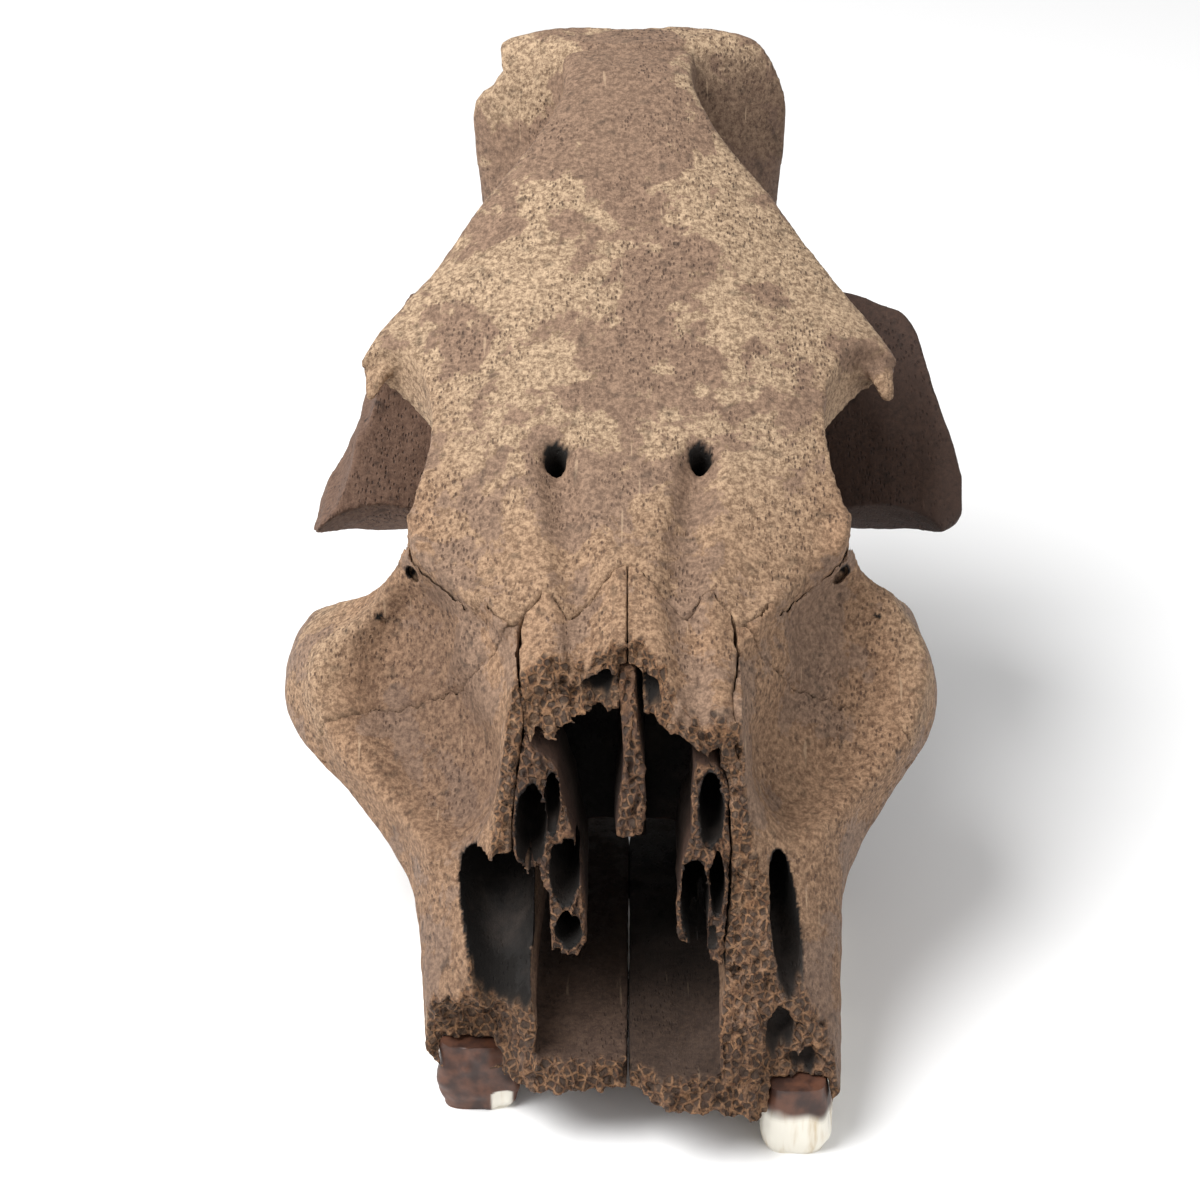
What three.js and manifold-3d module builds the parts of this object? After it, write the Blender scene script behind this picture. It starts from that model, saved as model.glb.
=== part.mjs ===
// The skull of a wild boar as it was dug up: no lower jaw, the snout and both cheek arches broken away.
// It rests on its cheek teeth and on the two bony processes beside the hole for the spinal cord.
// Millimetres, +Z up. While it is built, y = 0 is the seam between the nasal bones and the forehead, the broken
// snout points to -Y, +X is the animal's left side, and z = 0 is the table under the teeth.
import * as THREE from 'three';
import { LoftGeometry } from 'three/addons/geometries/LoftGeometry.js';
import { mergeVertices } from 'three/addons/utils/BufferGeometryUtils.js';
import Module from 'manifold-3d';

const wasm = await Module();
wasm.setup();

// Driving sizes of the skull.
const SEAM = 0.3;                  // gap kept between two bones
const GUM_HEIGHT = 12;             // the tooth sockets' rim above the table
const PALATE_FLOOR = 19;           // floor of the nose above the table
const PALATE_THICK = 5;
const CROWN_FOOT = 0;              // the worn crowns' flats stand on the table
const BREAK_TOP = [-25, 88];       // y and z where the break starts in the roof of the nose
const BREAK_SLOPE = 0.49;          // how far the break runs forward for each millimetre down

const vec = (x, y, z) => new THREE.Vector3(x, y, z);
const mirrored = (p) => vec(-p.x, p.y, p.z);

// Smooth closed ring through the given points, with perSpan steps from each to the next.
function ring(points, perSpan) {
  const curve = new THREE.CatmullRomCurve3(points, true);
  return curve.getPoints(points.length * perSpan).slice(0, -1);
}

// Rings lofted through sections of like points: each point's rail is a smooth curve from the first to the last.
function skin(sections, perSection, perSpan) {
  const rails = sections[0].map((_, k) => new THREE.CatmullRomCurve3(sections.map((s) => s[k])));
  const steps = (sections.length - 1) * perSection;
  const rings = [];
  for (let i = 0; i <= steps; i++) {
    rings.push(ring(rails.map((rail) => rail.getPoint(i / steps)), perSpan));
  }
  return closedLoft(rings);
}

// A loft whose ends close onto the middle of their own ring.
function closedLoft(rings) {
  const shut = (points) => {
    const middle = points.reduce((sum, p) => sum.add(p), vec(0, 0, 0)).divideScalar(points.length);
    return points.map(() => middle);
  };
  return solid(new LoftGeometry([shut(rings[0]), ...rings, shut(rings[rings.length - 1])]));
}

// A closed geometry as a solid whose faces point out.
function solid(geometry) {
  const bare = new THREE.BufferGeometry();
  bare.setAttribute('position', geometry.getAttribute('position'));
  bare.setIndex(geometry.getIndex());
  const merged = mergeVertices(bare, 1e-4);
  const vertProperties = new Float32Array(merged.attributes.position.array);
  const faces = [];
  for (let i = 0; i < merged.index.count; i += 3) {
    const [a, b, c] = merged.index.array.slice(i, i + 3);
    if (a !== b && b !== c && c !== a) faces.push([a, b, c]);
  }
  const build = (list) => new wasm.Manifold(
    new wasm.Mesh({ numProp: 3, vertProperties, triVerts: new Uint32Array(list.flat()) }));
  const made = build(faces);
  return made.volume() > 0 ? made : build(faces.map(([a, b, c]) => [a, c, b]));
}

// The same solid on the other side of the middle plane.
function otherSide(body) {
  return solid(geometryOf(body).applyMatrix4(new THREE.Matrix4().makeScale(-1, 1, 1)));
}

function geometryOf(body) {
  const mesh = body.getMesh();
  const geometry = new THREE.BufferGeometry();
  geometry.setAttribute('position', new THREE.BufferAttribute(new Float32Array(mesh.vertProperties), 3));
  geometry.setIndex(new THREE.BufferAttribute(new Uint32Array(mesh.triVerts), 1));
  return geometry;
}

function block([x0, x1], [y0, y1], [z0, z1]) {
  const box = new THREE.BoxGeometry(x1 - x0, y1 - y0, z1 - z0);
  return solid(box.translate((x0 + x1) / 2, (y0 + y1) / 2, (z0 + z1) / 2));
}

// An outline whose sides are moved outwards by a margin, its corners mitred.
function grown(outline, margin) {
  const clockwise = THREE.ShapeUtils.isClockWise(outline.map(([u, v]) => new THREE.Vector2(u, v)));
  const turn = clockwise ? -1 : 1;
  return outline.map((here, i) => {
    const before = outline[(i + outline.length - 1) % outline.length];
    const after = outline[(i + 1) % outline.length];
    const [nx, ny, mx, my] = [[before, here], [here, after]].flatMap(([p, q]) => {
      const length = Math.hypot(q[0] - p[0], q[1] - p[1]);
      return [turn * (q[1] - p[1]) / length, -turn * (q[0] - p[0]) / length];
    });
    const spread = margin / Math.max(0.3, 1 + nx * mx + ny * my);
    return [here[0] + (nx + mx) * spread, here[1] + (ny + my) * spread];
  });
}

// A prism on an outline drawn square to one axis: [x, y] points along z, [x, z] along y, [y, z] along x.
function prism(outline, along, from, to, margin = 0) {
  const [x, y, z] = [vec(1, 0, 0), vec(0, 1, 0), vec(0, 0, 1)];
  const bases = { x: [y, z, x], y: [x, z, y], z: [x, y, z] };
  const shape = new THREE.Shape(grown(outline, margin).map(([u, v]) => new THREE.Vector2(u, v)));
  const slab = new THREE.ExtrudeGeometry(shape, { depth: to - from + 2 * margin, bevelEnabled: false });
  slab.translate(0, 0, from - margin);
  return solid(slab.applyMatrix4(new THREE.Matrix4().makeBasis(...bases[along])));
}

function ball([x, y, z], [rx, ry, rz], around = 12) {
  const sphere = new THREE.SphereGeometry(1, around, around / 2);
  return solid(sphere.rotateX(Math.PI / 2).scale(rx, ry, rz).translate(x, y, z));
}

// A round limb whose centre and radii change from one station to the next: [x, y, z, rx, ry], rings level in z.
function limb(stations, around = 12, perSection = 2) {
  return skin(stations.map(([x, y, z, rx, ry]) => {
    const points = [];
    for (let j = 0; j < around / 2; j++) {
      const angle = (j / (around / 2)) * Math.PI * 2;
      points.push(vec(x + rx * Math.cos(angle), y + ry * Math.sin(angle), z));
    }
    return points;
  }), perSection, 2);
}

// The same, with the rings upright and facing along y: [x, y, z, rx, rz]. A boxy one has fuller corners.
function tunnel(stations, around = 8, boxy = false, perSection = 2) {
  const squared = (v) => (boxy ? Math.sign(v) * Math.sqrt(Math.abs(v)) : v);
  return skin(stations.map(([x, y, z, rx, rz]) => {
    const points = [];
    for (let j = 0; j < around / 2; j++) {
      const angle = (j / (around / 2)) * Math.PI * 2;
      points.push(vec(x + rx * squared(Math.cos(angle)), y, z + rz * squared(Math.sin(angle))));
    }
    return points;
  }), perSection, 2);
}

// Vault: forehead, brow and braincase in one body, as half sections across the skull from the nose to the nape.
// Each row is y, then [x, z] of the middle, quarter, rim, under the rim, upper wall, widest wall, lower wall,
// base edge and base middle.
const VAULT = [
  [-38, [0, 84], [11, 83.5], [20, 78.5], [20, 75], [17, 73], [13, 73], [9, 73], [4, 73], [0, 73]],
  [-20, [0, 92], [11.5, 91.3], [22, 86], [22, 81.5], [20, 80], [15, 80], [10, 80], [5, 80], [0, 80]],
  [-8, [0, 97.6], [12, 97], [24.6, 90.5], [25, 84], [23, 80], [18, 78], [12, 78], [6, 78], [0, 78]],
  [5, [0, 103.7], [15, 103], [33, 95], [33.5, 88], [28, 80], [24, 70], [19, 58], [12, 40], [0, 38]],
  [16, [0, 109], [19, 108.5], [44, 98.8], [43.5, 93], [33, 84], [28, 72], [20, 52], [13, 38], [0, 37]],
  [30, [0, 115.4], [21, 115], [51, 105.5], [49.5, 100], [34, 90], [27, 74], [19, 50], [13, 37], [0, 36]],
  [46, [0, 122.4], [24, 121.5], [57, 110.5], [55, 105], [35, 95], [27, 78], [19, 54], [13, 40], [0, 38]],
  [58, [0, 127.6], [26, 126], [59.5, 114.3], [57.5, 109], [36, 99], [27.5, 81], [18, 58], [12, 43], [0, 41]],
  [66, [0, 131.2], [27, 129.5], [59.3, 117.3], [56, 112], [36, 102], [28, 84], [18, 62], [12, 46], [0, 46]],
  [74, [0, 134.7], [26, 133], [54.6, 121.7], [51, 116], [35, 106], [29.5, 86], [19, 62], [12, 46], [0, 46]],
  [88, [0, 140.8], [22, 139.5], [44, 130], [41, 124], [33.5, 112], [34, 90], [26, 64], [13, 44], [0, 44]],
  [104, [0, 147.8], [17, 147], [33.5, 140], [31, 133], [30, 118], [36.5, 94], [30, 66], [13, 42], [0, 42]],
  [120, [0, 154.4], [11, 154], [21.3, 150.4], [21, 142], [27, 124], [36, 98], [31, 66], [13, 40], [0, 40]],
  [136, [0, 160.2], [8, 159.8], [15, 157.5], [15.5, 148], [23, 128], [33, 100], [30, 66], [13, 39], [0, 39]],
  [150, [0, 161.6], [8, 161.4], [15.3, 160.4], [16.5, 152], [22, 130], [32, 102], [29, 66], [12, 38], [0, 38]],
];

function vault() {
  return skin(VAULT.map(([y, ...half]) => {
    const right = half.map(([x, z]) => vec(x, y, z));
    const left = right.slice(1, -1).reverse().map(mirrored);
    return [...right, ...left];
  }), 2, 2);
}

// Nape: the upright plate at the back and its flaring crest, as half plans from the base to the crest.
// Each row is z, then [x, y] of the back's middle, the back's side, the crest's edge, its front and the core.
const NAPE = [
  [38, [0, 146], [7, 146.5], [13, 142], [11, 132], [0, 128]],
  [58, [0, 148], [14, 149], [28, 143], [26, 130], [0, 126]],
  [78, [0, 151], [18, 151], [37, 141], [33, 128], [0, 126]],
  [98, [0, 154], [18, 154.5], [36.5, 148], [30, 134], [0, 128]],
  [118, [0, 157], [17, 159], [36.5, 155.5], [26, 140], [0, 130]],
  [135, [0, 160], [18, 163], [38.5, 158.5], [21.5, 146], [0, 134]],
  [145, [0, 162], [19, 165.5], [38.6, 159], [19, 149], [0, 138]],
  [154, [0, 164.5], [19, 167.5], [35.4, 161], [17, 151], [0, 142]],
  [159.5, [0, 165.5], [17, 168], [30.5, 163], [15, 153], [0, 146]],
  [162, [0, 164.5], [14, 166], [22, 162.5], [12, 155], [0, 152]],
];

function nape() {
  return skin(NAPE.map(([z, ...half]) => {
    const right = half.map(([x, y]) => vec(x, y, z));
    const left = right.slice(1, -1).reverse().map(mirrored);
    return [...right, ...left];
  }), 2, 3);
}

// Cheek: upper jaw, tear bone and cheekbone of one side, as rings from the break back to the arch's stump.
// The rings lean as the break does. Each row is the ridge, upper hollow, lower hollow, facial crest, side,
// the wall under it, socket rim outside and inside, palate's edge, nasal wall and its top.
const CHEEK = [
  [[21.5, -38, 79], [22.4, -46, 62], [25.5, -54, 46], [30.5, -62, 31], [38, -67, 20], [41, -71, 16],
    [41, -74, 12], [24, -74, 12], [19, -72, 19], [18, -60, 38], [17.5, -45, 66]],
  [[22.3, -27, 84.5], [23.4, -36, 66], [27.5, -44, 50], [34, -51, 34], [41, -55, 21], [42, -58, 16],
    [42.3, -60, 12], [24, -62, 12], [19, -60, 19], [18.5, -48, 40], [18, -34, 70]],
  [[23, -12, 88.5], [26, -20, 74], [32, -27, 59], [39.5, -31, 47], [43.4, -36, 30], [43, -41, 21],
    [42.6, -45, 12.5], [24, -46, 12.5], [19.5, -45, 19], [19, -34, 42], [18.5, -20, 74]],
  [[28, 1, 92], [32, -5, 80], [38.5, -10, 67], [46.5, -12, 55], [46, -17, 39], [43.5, -23, 27],
    [43, -28, 13], [23.5, -30, 13], [19.5, -30, 19], [19.5, -18, 44], [19, -6, 78]],
  [[39, 10.5, 94], [40.5, 6, 86], [48.5, 4, 73], [57, 2, 60], [56.5, 0, 47], [45, -5, 35],
    [43, -12, 14], [23, -14, 14], [19, -14, 19], [19.5, -4, 46], [22, 4, 76]],
  [[44, 17, 97], [46.5, 15, 89], [54.5, 16, 79], [64, 18, 68], [65.5, 16, 52], [47.5, 9, 38],
    [43, 2, 16], [22, 2, 15], [18, 2, 20], [19.5, 10, 46], [24, 14, 74]],
  [[46, 22, 95], [51.5, 26, 86], [57.5, 31, 78], [63.5, 33, 68], [67, 32, 52], [50, 26, 42],
    [41, 16, 20], [21, 16, 15], [17, 17, 20], [20, 22, 46], [28, 24, 72]],
  [[50, 31, 84], [56, 36, 78], [60.5, 40, 72], [63.5, 42, 66], [66, 43, 52], [52, 38, 45],
    [44, 30, 32], [24, 28, 16], [18, 28, 21], [21, 32, 46], [32, 32, 66]],
];
// How much farther out the animal's right cheek reaches than the left, row by row: beside the
// nose, at the side, and at the tooth sockets.
const RIGHT_SHIFT = [[2.4, -2.6, -2.4], [2.4, -2.4, -2.4], [1.4, -1.4, -1.8], [0, 0.6, -0.8], [0, 3.6, 0],
  [0, 7, 0], [0, 8.5, 0], [0, 8, 0]];
const NOSE_SHARE = [0, 1, 0.6, 0, 0, 0, 0, 0, 0, 0, 0];
const HIGH_SHARE = [0, 0, 0, 1, 1, 0, 0, 0, 0, 0, 0];
const LOW_SHARE = [0, 0, 0, 0, 0, 1, 1, 0, 0, 0, 0];

function cheek(swell) {
  return skin(CHEEK.map((row, i) => row.map(
    ([x, y, z], k) => {
      const [nose, high, low] = RIGHT_SHIFT[i];
      return vec(x + swell * (nose * NOSE_SHARE[k] + high * HIGH_SHARE[k] + low * LOW_SHARE[k]), y, z);
    })), 2, 2);
}

// Eye socket: an upright well that leans back as it goes down: [x, y, z, rx, ry].
const SOCKET = [
  [56, 42, 128, 13.5, 24],
  [55.5, 42, 112, 13.5, 24],
  [54.5, 43, 99, 16, 25],
  [54, 50, 84, 22, 25],
  [54, 60, 70, 24, 24],
  [56, 72, 54, 26, 26],
  [58, 80, 36, 26, 28],
];

// The bony hook behind and above the eye.
const HOOK = [[55, 71, 121, 4.5, 4], [56.4, 66.5, 117, 3.8, 4], [57.4, 62.5, 113.5, 2.6, 3], [57.8, 60, 110.5, 1, 1.4]];

// Temporal wing: the root of the cheek arch behind the jaw joint, as upright rings from the braincase outwards.
// Each row is x, then [y, z] of the top, front hollow, joint's front lip, joint's roof, back lip and back.
const WING = [
  [26, [118, 112], [108, 90], [96, 62], [104, 56], [118, 54], [132, 84]],
  [40, [120, 112], [106, 90], [88, 64.5], [98, 60], [114, 55], [132, 86]],
  [52, [119, 111], [102, 90], [80, 67], [92, 62], [108, 56], [128, 86]],
  [60, [117.5, 109], [98, 90], [77, 68.5], [88.5, 63], [105, 57.5], [123, 86]],
  [66.5, [114, 107], [95, 90], [75.5, 69], [86, 64.5], [101, 60], [118, 84]],
  [72, [98, 95], [88, 87], [75, 70], [83, 66], [96, 62.5], [106, 81]],
  [76, [87.5, 85.5], [82.5, 80.5], [76, 71.5], [80, 68.5], [89, 67], [96, 76]],
  [77.8, [83, 80], [80.5, 77.5], [77.5, 73], [79, 71.5], [84, 71], [88, 75]],
];

function wing() {
  return skin(WING.map(([x, ...loop]) => loop.map(([y, z]) => vec(x, y, z))), 2, 3);
}

// Nasal cavity, and the passage that leaves it behind the palate: [x, y, z, half width, half height].
const NASAL_CAVITY = [
  [0, -90, 44, 19.5, 25],
  [0, -45, 47, 19.5, 28],
  [0, -22, 50.5, 18, 31.5],
  [0, -5, 52, 17, 33],
  [0, 8, 53, 15.5, 32],
];
const THROAT = [[0, -8, 28.5, 15, 9], [0, 16, 28, 15, 9], [0, 44, 27, 15, 9.5], [0, 80, 24, 18, 16]];
// The animal's right wing is broken: what lies beyond this line is lost, drawn from the front.
const LOST_WING = [[-50, 130], [-52, 112], [-57, 103], [-61.4, 98], [-60.8, 92], [-62.6, 87], [-65.3, 84],
  [-66, 80], [-69.6, 73], [-74, 68.5], [-76, 40], [-100, 40], [-100, 130]];
const LOST_CREST = [[-27, 170], [-31.4, 158], [-29.6, 153], [-37.4, 146], [-39.6, 138], [-60, 138], [-60, 170]];

// Small openings: the two holes above the eyes with their gutters, and the cells that the break laid open.
const BROW_HOLE = [[15.4, 25.4, 116, 2.1, 3.2], [15.2, 29, 109, 2, 2.6], [14, 34, 101, 1.2, 1.4]];
const BROW_GUTTER = [[14.8, 27, 114.6, 2.2, 1.6], [12.8, 14, 109.6, 3, 2.2], [11.8, 2, 104, 3.2, 2.1],
  [12.2, -12, 97.4, 3.2, 1.9], [13, -36, 85.6, 3, 1.6]];
const ROOF_CELLS = [
  [[-5.6, -40, 78, 3.4, 2.2], [-5.6, -18, 86.5, 3.4, 2.3], [-5.4, -6, 92.5, 2, 1.4]],
  [[3.4, -44, 76, 3, 2], [3.4, -21, 85.4, 3, 2], [3.4, -10, 90.6, 1.8, 1.3]],
];
// On the animal's right the break opens three cells of the jaw's hollow and the wide canal under the eye.
const RIGHT_CANAL = [[-23.5, -66, 33, 8, 11], [-24.5, -46, 43.5, 8, 12], [-27, -28, 49, 7.5, 9], [-28, -14, 52, 4, 5]];
const LEFT_CANAL = [[34.5, -62, 38, 3.4, 9], [32, -46, 43, 3, 10], [29.5, -34, 47, 3.2, 8], [28, -18, 51, 3, 4.5]];
const LEFT_SOCKETS = [
  [[30, -70, 22, 3.2, 4.2], [30.5, -57, 25, 3.2, 4.4], [30.5, -50, 27, 2.2, 3]],
  [[36, -72, 15, 3.4, 2.4], [35.5, -60, 18, 3.6, 2.6], [35, -53, 20, 2.4, 1.8]],
];

// How far forward the break lies: a slanting plane, shifted where a piece broke longer or shorter, and jagged.
function breakAt(x, z) {
  const [topY, topZ] = BREAK_TOP;
  const plane = topY - Math.max(-2, topZ - z) * BREAK_SLOPE;
  const smooth = THREE.MathUtils.smoothstep;
  const high = smooth(z, 74, 84);
  const roof = high * (5.5 - 9.5 * smooth(x, 2, 12));
  const low = 1 - smooth(z, 20, 34);
  const rightStump = low * (12 * (1 - smooth(x, -30, -17)) + 2);
  const palate = -low * 6 * smooth(x, 1, 8) * (1 - smooth(x, 24, 30));
  const jag = 0.8 * Math.sin(1.3 * x + 0.8 * z) + 0.7 * Math.sin(2.3 * x - 0.6 * z + 1.1);
  return plane + roof + rightStump + palate + jag;
}

// Everything in front of the break, as upright slices from side to side.
function lostSnout() {
  const [reach, front, low, high] = [84, -130, -6, 112];
  const [wide, tall] = [3.4, 4.6];
  const slices = [];
  for (let x = -reach; x <= reach; x += wide) {
    const slice = [vec(x, front, high), vec(x, front, low)];
    for (let z = low; z <= high; z += tall) slice.push(vec(x, breakAt(x, z), z));
    slices.push(slice);
  }
  return solid(new LoftGeometry(slices, { capStart: true, capEnd: true }));
}

// Palate: the plate between the tooth rows, hollowed underneath.
function palate() {
  const rows = [-80, -50, -20, 10, 39];
  return skin(rows.map((y) => [
    vec(0, y, PALATE_FLOOR), vec(14, y, PALATE_FLOOR), vec(24, y, PALATE_FLOOR + 1.5), vec(25, y, GUM_HEIGHT + 1),
    vec(18, y, PALATE_FLOOR - PALATE_THICK - 1), vec(0, y, PALATE_FLOOR - PALATE_THICK),
    vec(-18, y, PALATE_FLOOR - PALATE_THICK - 1), vec(-25, y, GUM_HEIGHT + 1),
    vec(-24, y, PALATE_FLOOR + 1.5), vec(-14, y, PALATE_FLOOR),
  ]), 2, 2);
}

// Cheek teeth of one side from the front: name, middle y, length along the row, width, middle x, lobes.
const TOOTH_ROW = [
  ['premolar_4', -56, 13, 14.5, 33.8, 1],
  ['molar_1', -41.5, 15.5, 15.5, 34, 2],
  ['molar_2', -22, 22.5, 18.5, 33.6, 2],
  ['molar_3', 8, 36, 20, 32.4, 3],
];
const WORN_MOLAR = ['molar_1', -41.5, 15.5, 17.5, 31, 2];     // the right side's, its first tooth left
const ROOT_DEPTH = 4;              // how far a crown sits in its socket

// A low-crowned tooth: a lobed outline that swells below the neck and ends in worn flats, grown by a margin.
function tooth([, y, length, width, x, lobes], side, grow) {
  const levels = [[GUM_HEIGHT + ROOT_DEPTH + grow, 0.88], [8, 1], [3.4, 0.97], [CROWN_FOOT, 0.74]];
  const around = 16;
  const rings = levels.map(([z, scale]) => {
    const points = [];
    for (let j = 0; j < around; j++) {
      const angle = (j / around) * Math.PI * 2;
      const waist = 1 - 0.07 * Math.cos(2 * lobes * angle) * (lobes > 1 ? 1 : 0);
      const square = 1 / Math.pow(Math.cos(angle) ** 4 + Math.sin(angle) ** 4, 0.25);
      const taper = lobes === 3 ? 1 - 0.16 * Math.sin(angle) : 1;
      const across = (width / 2 * scale + grow) * Math.cos(angle) * square * waist * taper;
      const along = (length / 2 * Math.sqrt(scale) + grow) * Math.sin(angle) * square;
      points.push(vec(side * (x + across), y + along, z));
    }
    return points;
  });
  return closedLoft(rings);
}

// Base of the skull: ear capsules, the joint knobs beside the spinal hole, and the long processes it rests on.
const EAR_CAPSULE = [[20, 117, 25, 4, 4], [20, 118, 33, 8, 10], [21, 119, 43, 10, 14], [22, 120, 54, 9, 13]];
const KNOB = [[13.5, 151, 49], [9, 10.5, 12.5]];
const PROCESS = [[25, 133, 0, 3.4, 5], [25.4, 133.5, 8, 3.8, 6], [27, 135, 26, 4.6, 7.5], [29, 137, 46, 6.5, 9],
  [31, 138, 66, 7, 10]];
const SPINAL_HOLE = [[0, 128, 60, 8, 7], [0, 140, 60, 10, 9], [0, 156, 60, 11.5, 10.5], [0, 175, 61, 13, 12]];
const PTERYGOID = [[17, 36, 17, 2, 5], [17.5, 44, 24, 2.2, 10], [17.5, 52, 38, 2.6, 15], [16.5, 58, 54, 5, 20]];

// Bony partition of the nose, thin and upright: [y, z] of its outline, with its half thickness.
const PARTITION = [[-50, 88], [-50, 62.5], [-36, 60.5], [-26, 57], [-14, 48], [-3, 37], [4, 35], [7.7, 35],
  [7.7, 88]];
const PARTITION_HALF = 2.2;

const partition = (margin = 0) => prism(PARTITION, 'x', 0.6 - PARTITION_HALF, 0.6 + PARTITION_HALF, margin);

// Scrolls: the bony shells along the side walls of the nose, each an [x, z] outline carried back from the break,
// and the cells in it, which open at the break.
const SCROLL_DEPTH = [-70, -12];
const SCROLL_LEFT = [[13.2, 73], [17.5, 74], [19.8, 70], [20.4, 58], [20, 48], [18.6, 37.6], [16.5, 39],
  [14.5, 41.5], [10.2, 42], [9.8, 48], [11, 57], [12.6, 60]];
const SCROLL_RIGHT = [[-20.5, 78], [-22, 70], [-23, 62], [-22.6, 56], [-18, 54.6], [-15.6, 50], [-15.2, 40],
  [-10, 39.6], [-8.4, 42], [-8.9, 50], [-10.8, 62], [-14, 72]];
const cell = (x, z, rx, rz) => [[x, -75, z, rx, rz], [x, -32, z, rx, rz], [x, -18, z, rx / 2, rz / 2]];
const CELLS_LEFT = [cell(16.4, 66, 2, 5.6), cell(14.2, 49.5, 2.9, 6.2)];
const CELLS_RIGHT = [cell(-19.3, 62.7, 2.4, 6.6), cell(-12.6, 54.2, 2.3, 5), cell(-11.8, 43.8, 2, 2.6)];

// A scroll less its cells, or with a margin the room that it takes up in the skull.
const scroll = (outline, cells) => (margin) => {
  const body = prism(outline, 'y', ...SCROLL_DEPTH, margin);
  return margin > 0 ? body : body.subtract(wasm.Manifold.union(cells.map((c) => tunnel(c, 8, false, 1))));
};

// The whole skull as one body, before it is parted into its bones.
function wholeSkull() {
  const lostWing = prism(LOST_WING, 'y', 50, 150);
  const lostCrest = prism(LOST_CREST, 'y', 140, 180);
  const bodies = [
    vault(), nape().subtract(lostCrest), cheek(0), otherSide(cheek(1)), wing(), otherSide(wing()).subtract(lostWing), palate()];
  let skull = wasm.Manifold.union(bodies);
  const socket = limb(SOCKET, 16);
  skull = skull.subtract(socket).subtract(otherSide(socket));
  const hook = limb(HOOK);
  const extras = [limb(PROCESS), limb(PTERYGOID), ball(...KNOB)];
  skull = wasm.Manifold.union([skull, hook, otherSide(hook), ...extras, ...extras.map(otherSide)]);
  const gutter = tunnel(BROW_GUTTER);
  const hole = limb([...BROW_HOLE].reverse(), 12, 1);
  const hollows = [
    tunnel(NASAL_CAVITY, 20, true, 1), tunnel(THROAT, 12, true, 1), tunnel(SPINAL_HOLE), gutter, otherSide(gutter), hole, otherSide(hole),
    ...ROOF_CELLS.map((c) => tunnel(c)), ...LEFT_SOCKETS.map((c) => tunnel(c)), tunnel(RIGHT_CANAL),
    tunnel(LEFT_CANAL), snout,
  ];
  return skull.subtract(wasm.Manifold.union(hollows));
}

// Seams between the bones, each as the region its bone fills on the animal's left; a margin widens it.
const FRONT_SEAM = [[6, -5], [12, -9], [17, -3], [21.2, -8]];
const RIDGE_LINE = [[23, -7.5], [28, -1], [34, 4.5], [40.5, 10.5], [44.5, 15.5], [47, 22], [52, 30]];
const nasalRegion = (margin) => prism(
  [[SEAM / 2, -60], [24, -60], [21.8, -20], [21.2, -8], [17, -3], [12, -9], [6, -5], [SEAM / 2, 0.5]],
  'z', 72, 120, margin);
const frontalRegion = (margin) => {
  const side = [...FRONT_SEAM, ...RIDGE_LINE, [66, 50], [66, 80], [52, 98], [20, 98], [9, 95]];
  const whole = [[0, 0.5], ...side, [0, 97], ...side.map(([x, y]) => [-x, y]).reverse()];
  return prism(whole, 'z', 74, 150, margin);
};
const temporalRegion = (margin) => prism(
  [[72, 62], [72, 80], [84, 94], [98, 108], [118, 115], [134, 110], [141, 96], [134, 76], [134, 52], [72, 52]],
  'x', 24, 84, margin);
const zygomaticRegion = (margin) => prism(
  [[50, 1], [62, 5], [84, 12], [84, 60], [50, 60]], 'z', 44, 112, margin);
const lacrimalRegion = (margin) => prism(
  [...RIDGE_LINE.slice(0, -1), [50, 27], [50, 1], [36, -4]], 'z', 56, 112, margin);
const occipitalRegion = (margin) => prism(
  [[140.5, 180], [141, 120], [137, 104], [128, 86], [116, 72], [104, 54], [104, -8], [190, -8], [190, 180]],
  'x', -60, 60, margin);
const parietalRegion = (margin) => prism([[88, 92], [88, 180], [160, 180], [160, 92]], 'x', -60, 60, margin);
const ethmoidRegion = (margin) => prism([[8, 38], [8, 86], [46, 86], [46, 38]], 'x', -15.5, 15.5, margin);
const sphenoidRegion = (margin) => prism([[-36, 34], [36, 34], [36, 150], [-36, 150]], 'z', 10, 96, margin);
const palatineRegion = (margin) => prism([[SEAM / 2, 4], [20, 4], [20, 44], [SEAM / 2, 44]], 'z', 4, 30, margin);

const BONE = new THREE.MeshStandardMaterial({ color: 0xa88a68, roughness: 0.85, metalness: 0 });
const DARK_BONE = new THREE.MeshStandardMaterial({ color: 0x6b4c38, roughness: 0.9, metalness: 0 });
const ENAMEL = new THREE.MeshStandardMaterial({ color: 0xd8d2c4, roughness: 0.4, metalness: 0 });

const part = new THREE.Group();
const snout = lostSnout();
let rest = wholeSkull();

// Adds the largest closed body of a solid as a named mesh.
function add(name, body, material) {
  const pieces = body.decompose().sort((a, b) => b.volume() - a.volume());
  const mesh = new THREE.Mesh(geometryOf(pieces[0]), material.clone());
  mesh.name = name;
  part.add(mesh);
}

// Takes one bone out of what is left of the skull, with a gap around it.
function take(name, region, material) {
  add(name, rest.intersect(region(0)), material);
  rest = rest.subtract(region(SEAM));
}

function takePair(name, region, material) {
  take(`${name}_left`, region, material);
  take(`${name}_right`, (margin) => otherSide(region(margin)), material);
}

// Bodies that are modelled on their own, each let into the skull with a gap.
function letIn(name, shape, material) {
  add(name, shape(0).subtract(snout), material);
  rest = rest.subtract(shape(SEAM));
}

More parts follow.
